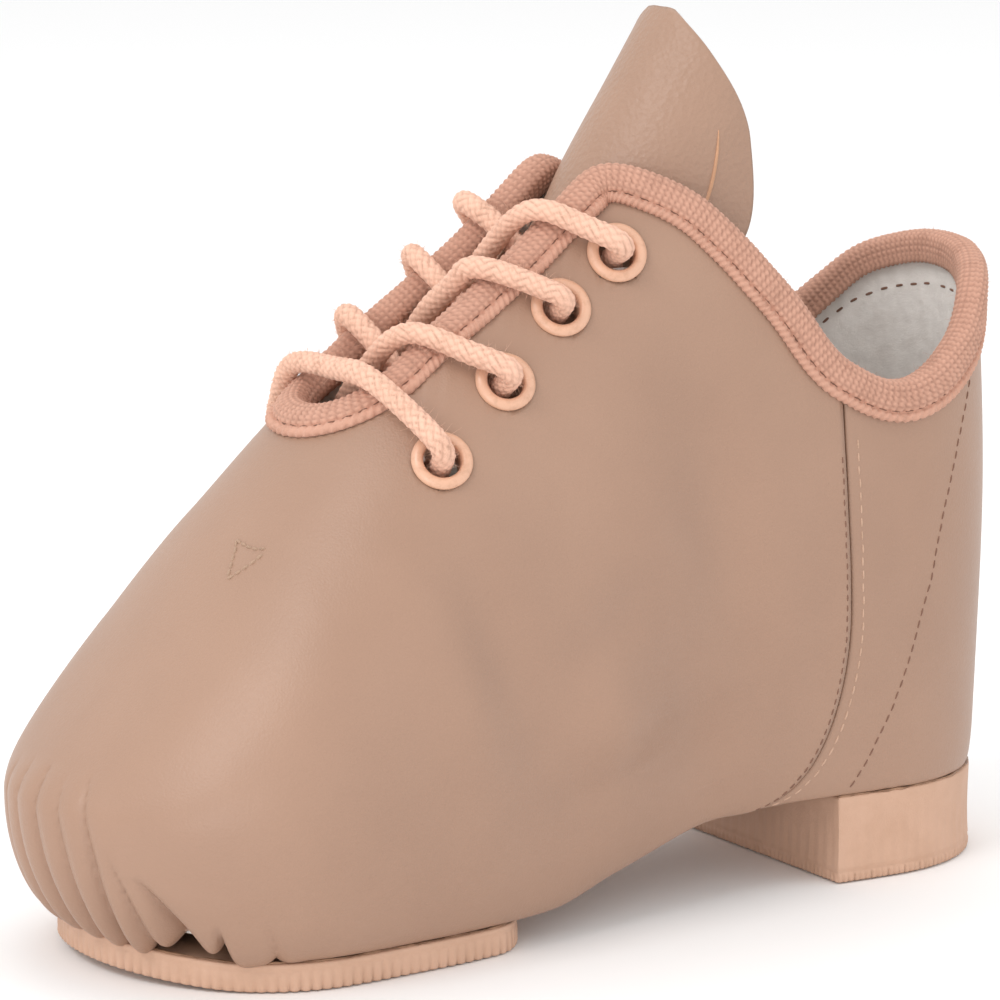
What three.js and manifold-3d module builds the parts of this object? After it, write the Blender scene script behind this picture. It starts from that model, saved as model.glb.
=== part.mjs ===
// Lace-up split-sole dance shoe for the left foot, in millimetres, Z up.
// X runs forward to the toe and Y to the outer side of the foot. The origin is on the ground under
// the centre of the heel's round back.
import * as THREE from "three";
import { mergeVertices } from "three/addons/utils/BufferGeometryUtils.js";
import Module from "manifold-3d";

const wasm = await Module();
wasm.setup();

// ---------------------------------------------------------------- driving dimensions
const spineLength = 107; // from the centre of the heel's round to the centre of the toe's round
const heelRadius = 28.5; // outside of the leather, at its widest level
const waistOuter = 28.5; // half-widths of the upper, from the spine
const waistInner = 24;
const ballOuter = 39;
const ballInner = 33.5;
const toeRadius = 37;

const heelHeight = 14.2; // the rubber heel block
const soleThickness = 4.3; // the forefoot patch
const toeSpring = 2.9; // how far the toe's tip is lifted
const collarBack = 101; // heights of the leather's top edge
const collarDip = 80;
const collarPeak = 118;
const ridgeAtThroat = 81.5; // height of the instep line at the throat's foot
const ridgeAtToe = 35;

const leather = 1.0; // thicknesses
const lining = 0.7;
const stiffener = 0.8;
const board = 1.5;
const sock = 1.0;
const tape = 0.8;
const gap = 0.3; // between any two pieces that touch

const throatHalf = 10.5; // half the width of the throat opening
const throatFoot = 22; // centre of the throat's round foot, behind the toe's centre
const sideSeam = 12; // the side seam's rearmost point, ahead of the heel's centre
const seamSweep = 18; // how far the seam runs forward at the feather edge
const backSeam = 0.6; // how far the back seam stands to the outer side
const counterReach = 38; // length of the stiffener along each side, from the back seam
const tapeOuter = 4.8; // how far the binding covers the leather, and the lining
const tapeInner = 4.0;

const eyeletBore = 2.9; // radii
const eyeletWall = 0.35;
const eyeletBarrel = eyeletBore + eyeletWall; // outside of the barrel
const eyeletFlange = eyeletBarrel + 1.5;
const eyeletPlaces = [ // distance ahead of the heel's centre, and from the throat's edge
  [85, 17.5],
  [72, 15.5],
  [60.4, 13.3],
  [50, 13.8],
];

const heelBreast = 12; // the heel block's flat front, ahead of the heel's centre
const patchRear = 40; // the forefoot patch's rear end, behind the toe's centre
const patchRound = 13; // length of that rounded end
const patchLip = 1.0; // how far a sole stands out past the feather edge
const heelLip = 0.6;
const forefootBoardRear = 44; // behind the toe's centre
const heelBoardFront = 20; // ahead of the heel's centre

const tongueCrest = [ // x and z from the root, along the middle, to the tip
  [101, 64.5],
  [85, 78.5],
  [70, 90.5],
  [56, 103],
  [46.5, 116.5],
  [31, 140.5],
];
const tongueArchOuter = [ // share of the length, and the arch's radius
  [0, 24],
  [0.3, 15.5],
  [0.5, 13],
  [0.62, 11.5],
  [0.75, 14.5],
  [1, 14.5],
];
const tongueArchInner = [
  [0, 19],
  [0.3, 13],
  [0.5, 11.5],
  [0.62, 10],
  [0.75, 12.5],
  [1, 12.5],
];
const tongueShift = 0.5; // how far its centre line stands to the outer side
const tongueHalf = [ // share of the length, and half the flat width
  [0, 16],
  [0.4, 19],
  [0.6, 22],
  [0.75, 34],
  [0.88, 26],
  [0.96, 13],
  [1, 4],
];

const laceDiameter = 3.6;
const tagDiameter = 3;
const tagLength = 14;

// ---------------------------------------------------------------- the form of the upper
const heelEnd = 0.22; // station where the heel's round meets the straight spine
const toeStart = 0.7; // station where the spine meets the toe's round
const quarterTurn = Math.PI / 2;
const degree = Math.PI / 180;
const clamp = (v, low, high) => Math.min(Math.max(v, low), high);
const stationAt = (x) => heelEnd + (x / spineLength) * (toeStart - heelEnd);

// A smooth curve through a table's points that never overshoots them.
function smooth(table, v) {
  const last = table.length - 1;
  const at = clamp(v, table[0][0], table[last][0]);
  let i = 0;
  while (i < last - 1 && at >= table[i + 1][0]) i++;
  const rise = (k) => (table[k + 1][1] - table[k][1]) / (table[k + 1][0] - table[k][0]);
  const slope = (k) => {
    if (k === 0) return rise(0);
    if (k === last) return rise(last - 1);
    const a = rise(k - 1);
    const b = rise(k);
    return a * b <= 0 ? 0 : (2 * a * b) / (a + b);
  };
  const h = table[i + 1][0] - table[i][0];
  const s = (at - table[i][0]) / h;
  return (
    table[i][1] * (1 + 2 * s) * (1 - s) ** 2 +
    table[i + 1][1] * s * s * (3 - 2 * s) +
    h * slope(i) * s * (1 - s) ** 2 -
    h * slope(i + 1) * s * s * (1 - s)
  );
}

// Half-width of the upper round the shoe, by station: 0 at the back seam, 1 at the toe's tip.
const outerReach = [
  [0, heelRadius],
  [0.11, heelRadius],
  [heelEnd, heelRadius - 0.5],
  [0.36, waistOuter],
  [0.5, waistOuter + 4.5],
  [0.62, ballOuter - 1],
  [toeStart, ballOuter],
  [0.8, ballOuter],
  [0.9, toeRadius + 0.7],
  [1, toeRadius],
];
const innerReach = [
  [0, heelRadius],
  [0.11, heelRadius - 1],
  [heelEnd, heelRadius - 2.5],
  [0.36, waistInner],
  [0.5, waistInner + 3],
  [0.62, ballInner - 1.5],
  [toeStart, ballInner],
  [0.8, ballInner + 1],
  [0.9, toeRadius - 1.3],
  [1, toeRadius],
];
// The feather edge, as a share of the half-width.
const featherShare = [
  [0, 0.94],
  [heelEnd, 0.93],
  [0.36, 0.86],
  [0.55, 0.84],
  [toeStart, 0.84],
  [0.85, 0.78],
  [1, 0.75],
];
// Heights along the spine, by share of its length.
const heelSeat = heelHeight + gap;
const foreSeat = soleThickness + gap;
const bottomLine = [
  [-0.28, heelSeat],
  [0.15, heelSeat],
  [0.32, heelSeat - 1],
  [0.52, foreSeat + 3.9],
  [0.645, foreSeat + 0.2],
  [0.7, foreSeat],
  [1.12, foreSeat],
  [1.36, foreSeat + toeSpring],
];
const wideLine = [
  [-0.28, heelSeat + 35.5],
  [0, heelSeat + 33.5],
  [0.37, heelSeat + 27.5],
  [0.75, foreSeat + 27.4],
  [1, foreSeat + 22.4],
  [1.36, foreSeat + 20.4],
];
const ridgeLine = [ // behind the throat it is only the line that the sides lean in towards
  [-0.28, 235],
  [0, 190],
  [0.28, 147],
  [0.514, 117],
  [0.748, ridgeAtThroat + 13.5],
  [0.888, ridgeAtThroat],
  [1, ridgeAtThroat - 12.5],
  [1.17, ridgeAtToe + 16],
  [1.36, ridgeAtToe],
];
const topLine = [
  [-0.28, collarBack],
  [-0.205, collarBack - 5],
  [-0.11, collarDip + 6],
  [0.01, collarDip],
  [0.11, collarDip + 4],
  [0.234, collarDip + 19.5],
  [0.336, collarPeak - 7],
  [0.42, collarPeak - 2],
  [0.486, collarPeak],
];
const crownShape = [ // 2 is an ellipse, and less is a flatter gable
  [0, 2],
  [0.3, 1.9],
  [0.5, 1.6],
  [0.62, 1.75],
  [toeStart, 1.9],
  [1, 2.1],
];

const along = (line, x) => smooth(line, x / spineLength);
const reach = (side, t) => smooth(side > 0 ? outerReach : innerReach, t);

function spineAt(t) {
  const x = clamp((t - heelEnd) / (toeStart - heelEnd), 0, 1) * spineLength;
  let turn = quarterTurn;
  if (t < heelEnd) turn = Math.PI - (t / heelEnd) * quarterTurn;
  if (t > toeStart) turn = ((1 - t) / (1 - toeStart)) * quarterTurn;
  return { x, turn };
}

// A point of the leather's outside. side is 1 on the outer side of the foot and -1 on the inner.
// climb is 0 at the feather edge, a quarter turn at the widest level and a half turn at the ridge.
function skinPoint(side, t, climb) {
  if (t > 1) return skinPoint(-side, 2 - t, climb);
  if (t < 0) return skinPoint(-side, -t, climb);
  const { x: centre, turn } = spineAt(t);
  const half = reach(side, t);
  const share = smooth(featherShare, t);
  const s = Math.sin(climb);
  const c = Math.cos(climb);
  const r = c > 0 ? half * (share + (1 - share) * s) : half * s;
  const x = centre + r * Math.cos(turn);
  const low = along(bottomLine, x);
  const wide = along(wideLine, x);
  const z =
    c > 0
      ? low + (wide - low) * (1 - c)
      : wide + (along(ridgeLine, x) - wide) * (-c) ** (2 / smooth(crownShape, t));
  return new THREE.Vector3(x, side * r * Math.sin(turn), z);
}

function skinSlopes(side, t, climb) {
  const e = 1e-3;
  const up = Math.min(climb + e, Math.PI);
  const dt = skinPoint(side, t + e, climb).sub(skinPoint(side, t - e, climb));
  const dc = skinPoint(side, t, up).sub(skinPoint(side, t, climb - e));
  return { dt: dt.divideScalar(2 * e), dc: dc.divideScalar(up - climb + e) };
}

function skinNormal(side, t, climb) {
  const p = skinPoint(side, t, climb);
  if (climb > Math.PI - 0.02) {
    const e = 0.1;
    const slope = (along(ridgeLine, p.x + e) - along(ridgeLine, p.x - e)) / (2 * e);
    return new THREE.Vector3(-slope, 0, 1).normalize();
  }
  const { dt, dc } = skinSlopes(side, t, climb);
  return dc.cross(dt).multiplyScalar(side).normalize();
}

// Where the leather ends at the top: the collar, the throat's edge, or the closed ridge.
const throatCentre = spineLength - throatFoot;
const throatEnd = throatCentre + throatHalf;

function edgeClimb(side, stationOf) {
  const collarTop = 60; // ahead of here only the throat cuts the leather
  const t0 = stationOf(2);
  const { x } = spineAt(t0);
  if (x > throatEnd - 1e-6) return Math.PI;
  const beyond = Math.max(x - throatCentre, 0);
  const open = Math.sqrt(Math.max(throatHalf ** 2 - beyond ** 2, 0));
  const throat = Math.PI - Math.asin(Math.min(open / reach(side, t0), 1));
  if (x > collarTop) return throat;
  let low = quarterTurn;
  let high = Math.PI;
  for (let k = 0; k < 40; k++) {
    const mid = (low + high) / 2;
    const p = skinPoint(side, stationOf(mid), mid);
    if (p.z > along(topLine, p.x)) high = mid;
    else low = mid;
  }
  const round = 0.05; // softens the corner between the collar and the throat
  return -round * Math.log(Math.exp(-throat / round) + Math.exp(-low / round));
}

// ---------------------------------------------------------------- columns round the shoe
const seamStation = stationAt(sideSeam);
const seamShift = (seamSweep / spineLength) * (toeStart - heelEnd);
const seamLow = 87 * degree; // the climb where the side seam is furthest back
const seamBow = (climb) => seamShift * ((climb - seamLow) / seamLow) ** 2;
const seamGap = 0.5; // the quarters meet the vamp at a slant, so they keep a little more than the plain gap
const halfGap = ((seamGap / 2) * (toeStart - heelEnd)) / spineLength;

// A column climbs the shoe at one station. Near the side seam it leans with the seam.
function column(side, t, pull) {
  const stationOf = (climb) => t + pull * seamBow(climb);
  return { side, stationOf, top: edgeClimb(side, stationOf) };
}
const leanReach = 0.16;
const lean = (t) => Math.max(0, 1 - Math.abs(t - seamStation) / leanReach);

const frontXs = [0.19, 0.27, 0.33, 0.38, 0.42, 0.47, 0.54, 0.61, 0.7];
const throatTurns = [0, 30, 60, 80, 90];
const frontStations = [
  ...frontXs.map((share) => stationAt(share * spineLength)),
  ...throatTurns.map((a) => stationAt(throatCentre + throatHalf * Math.sin(a * degree))),
  (stationAt(throatEnd) + toeStart) / 2,
  toeStart,
  ...[1, 2, 3, 4, 5, 6].map((k) => toeStart + ((1 - toeStart) * k) / 7),
];
const rearStations = [0.035, 0.07, 0.105, 0.14, 0.18, 0.22];

const seamColumn = (side, shift) => column(side, seamStation + shift, 1);
const frontHalf = (side) => [
  seamColumn(side, halfGap),
  ...frontStations.map((t) => column(side, t, lean(t))),
];
const rearHalf = (side, start) => [
  column(side, start, 0),
  ...rearStations.map((t) => column(side, t, lean(t))),
  seamColumn(side, -halfGap),
];
const toeTip = column(1, 1, 0);
const vampColumns = [...frontHalf(1), toeTip, ...frontHalf(-1).reverse()];
const heelStation = (arc) => (arc * heelEnd) / (heelRadius * quarterTurn);
const quarterOuterColumns = rearHalf(1, heelStation(backSeam + gap / 2));
const quarterInnerColumns = rearHalf(-1, heelStation(gap / 2 - backSeam)).reverse();
const quarterLiningColumns = [
  ...rearHalf(-1, 0).reverse().slice(0, -1),
  ...rearHalf(1, 0),
];

// ---------------------------------------------------------------- solids from surfaces
// Joins two skins with the same net of triangles into one closed solid, walled along their edges.
function closeSkins(outside, inside, triangles) {
  const key = (p) => [p.x, p.y, p.z].map((v) => Math.round(v * 500)).join();
  const first = new Map();
  const same = outside.map((p, i) => {
    const k = key(p);
    if (!first.has(k)) first.set(k, i);
    return first.get(k);
  });
  const net = triangles
    .map((tri) => tri.map((i) => same[i]))
    .filter(([a, b, c]) => a !== b && b !== c && c !== a);
  const edges = new Set(net.flatMap(([a, b, c]) => [`${a},${b}`, `${b},${c}`, `${c},${a}`]));
  const places = [];
  const add = (...points) => points.forEach((p) => places.push(p.x, p.y, p.z));
  for (const [a, b, c] of net) {
    add(outside[a], outside[b], outside[c]);
    add(inside[a], inside[c], inside[b]);
  }
  for (const edge of edges) {
    const [a, b] = edge.split(",").map(Number);
    if (edges.has(`${b},${a}`)) continue;
    // The wall's diagonal starts at the lower end, so that two pieces that meet are cut alike.
    if (outside[a].z < outside[b].z) {
      add(outside[b], outside[a], inside[b]);
      add(outside[a], inside[a], inside[b]);
    } else {
      add(outside[b], outside[a], inside[a]);
      add(outside[b], inside[a], inside[b]);
    }
  }
  return bare(places);
}

function bare(places) {
  const g = new THREE.BufferGeometry();
  g.setAttribute("position", new THREE.Float32BufferAttribute(places, 3));
  return mergeVertices(g, 1e-3);
}

function netOf(columnCount, rowCount) {
  const triangles = [];
  for (let i = 0; i + 1 < columnCount; i++)
    for (let j = 0; j + 1 < rowCount; j++) {
      const a = i * rowCount + j;
      const b = a + rowCount;
      triangles.push([a, a + 1, b + 1], [a, b + 1, b]);
    }
  return triangles;
}

// A layer of the upper between two depths below the leather's outside. shares places its rows.
function layer(columns, shares, outer, inner) {
  const outside = [];
  const inside = [];
  for (const { side, stationOf, top } of columns)
    for (const share of shares) {
      const climb = top * share;
      const t = stationOf(climb);
      const p = skinPoint(side, t, climb);
      const n = skinNormal(side, t, climb);
      outside.push(p.clone().addScaledVector(n, -outer(t, climb)));
      inside.push(p.clone().addScaledVector(n, -inner(t, climb)));
    }
  return closeSkins(outside, inside, netOf(columns.length, shares.length));
}

// A flat piece inside the feather edge, between two heights that vary with X.
function plate(stations, reachOf, low, high) {
  const shares = [1, 0.66, 0.33, 0];
  const outside = [];
  const inside = [];
  for (const { side, t } of stations)
    for (const share of shares) {
      const { x: centre, turn } = spineAt(t);
      const r = reachOf(side, t) * share;
      const x = centre + r * Math.cos(turn);
      const y = side * r * Math.sin(turn);
      outside.push(new THREE.Vector3(x, y, high(x)));
      inside.push(new THREE.Vector3(x, y, low(x)));
    }
  return closeSkins(outside, inside, netOf(stations.length, shares.length));
}

function solidOf(geometry) {
  const places = geometry.attributes.position.array;
  return new wasm.Manifold(
    new wasm.Mesh({ numProp: 3, vertProperties: places, triVerts: geometry.index.array }),
  );
}

function geometryOf(solid) {
  const mesh = solid.getMesh();
  const g = new THREE.BufferGeometry();
  g.setAttribute("position", new THREE.BufferAttribute(mesh.vertProperties, 3));
  g.setIndex(new THREE.BufferAttribute(mesh.triVerts, 1));
  return g;
}

function merged(geometry) {
  const g = geometry.clone();
  for (const name of Object.keys(g.attributes)) if (name !== "position") g.deleteAttribute(name);
  return mergeVertices(g, 1e-3);
}

// ---------------------------------------------------------------- materials
const matte = (color, roughness) =>
  new THREE.MeshStandardMaterial({ color, roughness, metalness: 0 });
const tanLeather = matte(0xb8957e, 0.62);
const tanTape = matte(0xcd9b87, 0.9);
const liningCloth = matte(0xd8d4cf, 0.95);
const soleRubber = matte(0xd6ac94, 0.75);
const boardFibre = matte(0xb59a7a, 0.9);
const laceCotton = matte(0xcfa892, 0.95);
const tagPlastic = matte(0xb58a6c, 0.45);
const eyeletPaint = new THREE.MeshStandardMaterial({
  color: 0xd0a082,
  roughness: 0.35,
  metalness: 0.2,
});

const shoe = new THREE.Group();
function place(name, geometry, material) {
  const mesh = new THREE.Mesh(geometry, material);
  mesh.name = name;
  shoe.add(mesh);
  return mesh;
}

// ---------------------------------------------------------------- eyelets
const eyelets = [];
for (const [side, sideName] of [[1, "outer"], [-1, "inner"]])
  eyeletPlaces.forEach(([x, inset], k) => {
    const t = stationAt(x);
    const edge = edgeClimb(side, () => t);
    const nearEdge = skinSlopes(side, t, edge - 0.15).dc.length();
    const climb = edge - inset / nearEdge;
    const at = skinPoint(side, t, climb);
    const axis = skinNormal(side, t, climb);
    const turn = new THREE.Quaternion().setFromUnitVectors(new THREE.Vector3(0, 1, 0), axis);
    eyelets.push({ name: `eyelet_${sideName}_${k + 1}`, at, turn });
  });

const eyeletSides = 12;
const backFace = leather + gap + lining + 0.8;
const eyeletProfile = [
  [eyeletBore, -backFace - 0.5],
  [eyeletBore, 0.7],
  [eyeletBarrel + 0.2, 1.15],
  [eyeletFlange - 0.7, 1.1],
  [eyeletFlange, gap + 0.25],
  [eyeletFlange - 0.2, gap],
  [eyeletBarrel, gap],
  [eyeletBarrel, -backFace],
  [eyeletBarrel + 0.8, -backFace - 0.1],
  [eyeletBarrel + 0.6, -backFace - 0.6],
].map(([r, h]) => new THREE.Vector2(r, h)).reverse();
eyeletProfile.push(eyeletProfile[0].clone());

function placeEyelet({ name, at, turn }) {
  const ring = place(name, merged(new THREE.LatheGeometry(eyeletProfile, eyeletSides)), eyeletPaint);
  ring.position.copy(at);
  ring.quaternion.copy(turn);
}

// Bores every eyelet's hole through a layer of the upper.
function bored(geometry) {
  let solid = solidOf(geometry);
  for (const { at, turn } of eyelets) {
    const radius = eyeletBarrel + gap + 0.1;
    const drill = new THREE.CylinderGeometry(radius, radius, 9, eyeletSides);
    drill.applyQuaternion(turn);
    drill.translate(at.x, at.y, at.z);
    solid = solid.subtract(solidOf(merged(drill)));
  }
  return geometryOf(solid);
}

// ---------------------------------------------------------------- leather, stiffener and lining
const rows = [0, 0.1, 0.22, 0.34, 0.46, 0.58, 0.7, 0.8, 0.88, 0.94, 1];
const depth = (d) => () => d;

place("vamp", bored(layer(vampColumns, rows, depth(0), depth(leather))), tanLeather);
place("quarter_outer", layer(quarterOuterColumns, rows, depth(0), depth(leather)), tanLeather);
place("quarter_inner", layer(quarterInnerColumns, rows, depth(0), depth(leather)), tanLeather);

// The lining steps inwards round the heel, to leave room for the stiffener.
const counterStation = (counterReach / (heelRadius * quarterTurn)) * heelEnd;
const counterTop = 84 * degree;
const ease = (v) => clamp(v, 0, 1) ** 2 * (3 - 2 * clamp(v, 0, 1));
const besideCounter = (t, climb) =>
  (1 - ease((t - counterStation - 0.01) / 0.05)) * (1 - ease((climb - counterTop) / (14 * degree)));
const liningOut = (t, climb) => leather + gap + (stiffener + gap) * besideCounter(t, climb);
const liningIn = (t, climb) => liningOut(t, climb) + lining;
place("vamp_lining", bored(layer(vampColumns, rows, liningOut, liningIn)), liningCloth);
place("quarter_lining", layer(quarterLiningColumns, rows, liningOut, liningIn), liningCloth);

const counterColumns = [];
for (const share of [1, 0.8, 0.6, 0.4, 0.2, 0, -0.2, -0.4, -0.6, -0.8, -1]) {
  const side = share > 0 ? -1 : 1;
  counterColumns.push({ side, stationOf: () => Math.abs(share) * counterStation, top: counterTop });
}
place(
  "heel_counter",
  layer(counterColumns, rows, depth(leather + gap), depth(leather + gap + stiffener)),
  boardFibre,
);

// ---------------------------------------------------------------- binding round the collar and throat
const edgeHalf = (side) => [
  column(side, 0, 0),
  ...rearStations.map((t) => column(side, t, lean(t))),
  seamColumn(side, 0),
  ...frontStations.filter((t) => t < stationAt(throatEnd) - 1e-6).map((t) => column(side, t, lean(t))),
];
const edgeColumns = [
  ...edgeHalf(1),
  column(1, stationAt(throatEnd), 0),
  ...edgeHalf(-1).slice(1).reverse(),
];
const tapeGap = 0.5;
const layersIn = leather + gap + lining + tapeGap;
const tapeSection = [ // distance down from the leather's edge, and height above its outside
  [tapeOuter, tapeGap],
  [tapeOuter, tapeGap + tape],
  [0, tapeGap + tape],
  [-gap - tape, tapeGap],
  [-gap - tape, -layersIn],
  [0, -layersIn - tape],
  [tapeInner, -layersIn - tape],
  [tapeInner, -layersIn],
  [-gap, -layersIn],
  [-gap, tapeGap],
];

function bindingRings() {
  const ends = edgeColumns.map(({ side, stationOf, top }) => {
    const t = stationOf(top);
    return { side, t, climb: top, p: skinPoint(side, t, top), n: skinNormal(side, t, top) };
  });
  return ends.map(({ side, t, climb, p, n }, i) => {
    const before = ends[(i + ends.length - 1) % ends.length].p;
    const after = ends[(i + 1) % ends.length].p;
    const run = after.clone().sub(before).normalize();
    const out = run.clone().cross(n).normalize().negate();
    const { dt, dc } = skinSlopes(side, t, climb);
    if (out.dot(dc) < 0 && Math.abs(climb - Math.PI) > 0.02) out.negate();
    if (Math.abs(climb - Math.PI) <= 0.02) out.set(-1, 0, 0).addScaledVector(n, n.x).normalize();
    const [a, b, c] = [dt.dot(dt), dt.dot(dc), dc.dot(dc)];
    const det = a * c - b * b;
    return tapeSection.map(([down, height]) => {
      if (down <= 0) return p.clone().addScaledVector(out, -down).addScaledVector(n, height);
      const [u, v] = [-down * out.dot(dt), -down * out.dot(dc)];
      const t2 = t + (c * u - b * v) / det;
      const climb2 = climb + (a * v - b * u) / det;
      const below = skinNormal(side, t2, climb2);
      return skinPoint(side, t2, climb2).addScaledVector(below, height);
    });
  });
}

// Skins a closed loop of rings.
function loopOf(rings) {
  const places = [];
  const add = (...points) => points.forEach((p) => places.push(p.x, p.y, p.z));
  rings.forEach((ring, i) => {
    const next = rings[(i + 1) % rings.length];
    ring.forEach((p, j) => {
      const k = (j + 1) % ring.length;
      add(p, next[k], next[j]);
      add(p, ring[k], next[k]);
    });
  });
  return bare(places);
}
place("topline_binding", loopOf(bindingRings()), tanTape);

eyelets.forEach(placeEyelet);

// ---------------------------------------------------------------- soles, boards and sock
const feather = (side, t) => reach(side, t) * smooth(featherShare, t);
const bottom = (x) => along(bottomLine, x);
const round = (from, to, count) =>
  Array.from({ length: count + 1 }, (_, k) => from + ((to - from) * k) / count);
const bothWays = (stations) => [
  ...stations.map((t) => ({ side: 1, t })),
  ...stations.slice(0, -1).reverse().map((t) => ({ side: -1, t })),
];
const toToe = (x, count) =>
  bothWays([...round(stationAt(x), toeStart, count), ...round(toeStart, 1, 6).slice(1)]);
const toHeel = (x, count) =>
  bothWays([...round(stationAt(x), heelEnd, count), ...round(heelEnd, 0, 6).slice(1)])
    .reverse();

const patchStart = spineLength - patchRear;
const patchTurns = [0, 25, 50, 70, 90];
const patchStations = bothWays([
  ...patchTurns.map((a) => stationAt(patchStart + patchRound * (1 - Math.cos(a * degree)))),
  ...round(stationAt(patchStart + patchRound), toeStart, 3).slice(1),
  ...round(toeStart, 1, 7).slice(1),
]);
function patchReach(side, t) {
  const short = clamp((patchStart + patchRound - spineAt(t).x) / patchRound, 0, 1);
  return (feather(side, t) + patchLip) * Math.sqrt(1 - short ** 2);
}
const patchBottom = (x) => (x > spineLength ? bottom(x) - foreSeat : 0);
place(
  "outsole_forefoot",
  plate(patchStations, patchReach, patchBottom, (x) => patchBottom(x) + soleThickness),
  soleRubber,
);
place(
  "heel_block",
  plate(toHeel(heelBreast, 2), (side, t) => feather(side, t) + heelLip, () => 0, () => heelHeight),
  soleRubber,
);

const within = (side, t) => feather(side, t) - gap;

// The plan radius left inside the lining between two heights above the feather edge.
function roomBetween(side, t, low, high) {
  let least = within(side, t);
  const { x: centre } = spineAt(t);
  for (let climb = 0; climb < 60 * degree; climb += 1.5 * degree) {
    const n = skinNormal(side, t, climb);
    const p = skinPoint(side, t, climb).addScaledVector(n, -liningIn(t, climb) - gap);
    const height = p.z - bottom(p.x);
    const radial = Math.hypot(p.x - centre, p.y);
    if (height > low - 2 * gap && height < high + 2 * gap) least = Math.min(least, radial - 2 * gap);
  }
  return least;
}
const layersUp = leather + gap; // the boards start level with the lining's edge
const boardReach = (side, t) => roomBetween(side, t, layersUp, layersUp + board);
place(
  "insole_board_forefoot",
  plate(
    toToe(spineLength - forefootBoardRear, 3),
    boardReach,
    (x) => bottom(x) + layersUp,
    (x) => bottom(x) + layersUp + board,
  ),
  boardFibre,
);
place(
  "insole_board_heel",
  plate(
    toHeel(heelBoardFront, 2),
    boardReach,
    (x) => bottom(x) + layersUp,
    (x) => bottom(x) + layersUp + board,
  ),
  boardFibre,
);
// The sleeve closes the arch from side to side, between the two soles.
const sleeveFront = patchStart + 5;
const sleeveRear = heelBreast - 4;
const across = [1, 0.5, 0, -0.5, -1];
function archSleeve() {
  const outside = [];
  const inside = [];
  const xs = round(sleeveRear, sleeveFront, 8);
  for (const x of xs)
    for (const share of across) {
      const side = share < 0 ? -1 : 1;
      const y = share * (within(side, stationAt(x)) - 2 * gap);
      outside.push(new THREE.Vector3(x, y, bottom(x) + leather));
      inside.push(new THREE.Vector3(x, y, bottom(x)));
    }
  return closeSkins(outside, inside, netOf(xs.length, across.length));
}
place("arch_sleeve", archSleeve(), tanLeather);

const sockLow = layersUp + board + gap;
place(
  "sock_liner",
  plate(
    [
      ...round(0, 1, 16).map((t) => ({ side: 1, t })),
      ...round(1, 0, 16).slice(1).map((t) => ({ side: -1, t })),
    ],
    (side, t) => roomBetween(side, t, sockLow, sockLow + sock),
    (x) => bottom(x) + sockLow,
    (x) => bottom(x) + sockLow + sock,
  ),
  liningCloth,
);

// ---------------------------------------------------------------- tongue
const crestCurve = new THREE.CatmullRomCurve3(
  tongueCrest.map(([x, z]) => new THREE.Vector3(x, 0, z)),
);

// A point of the tongue's outside: share runs from the root to the tip, and across from -1 to 1.
function tonguePoint(share, acrossShare, deep) {
  const crest = crestCurve.getPointAt(share);
  const run = crestCurve.getTangentAt(share);
  const inward = new THREE.Vector3(run.z, 0, -run.x).multiplyScalar(run.x < 0 ? -1 : 1);
  const radius = smooth(acrossShare > 0 ? tongueArchOuter : tongueArchInner, share);
  const width = acrossShare * smooth(tongueHalf, share);
  const turn = clamp(width / radius, -quarterTurn, quarterTurn);
  const leg = Math.abs(width) - Math.abs(turn) * radius;
  return crest
    .addScaledVector(inward, radius * (1 - Math.cos(turn)) + leg + deep * Math.cos(turn))
    .add(new THREE.Vector3(0, tongueShift + (radius - deep) * Math.sin(turn), 0));
}

function tongueLayer(from, to, first, last) {
  const acrosses = [-1, -0.78, -0.55, -0.3, 0, 0.3, 0.55, 0.78, 1];
  const outside = [];
  const inside = [];
  const shares = [0, 0.12, 0.24, 0.36, 0.46, 0.56, 0.66, 0.76, 0.84, 0.91, 0.96, 1];
  const runs = shares.map((v) => first + v * (last - first));
  for (const share of runs)
    for (const acrossShare of acrosses) {
      outside.push(tonguePoint(share, acrossShare, from));
      inside.push(tonguePoint(share, acrossShare, to));
    }
  return closeSkins(outside, inside, netOf(runs.length, acrosses.length));
}
place("tongue", tongueLayer(0, leather, 0, 1), tanLeather);
place("tongue_lining", tongueLayer(leather + gap, leather + gap + lining, 0, 1), liningCloth);

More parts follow.
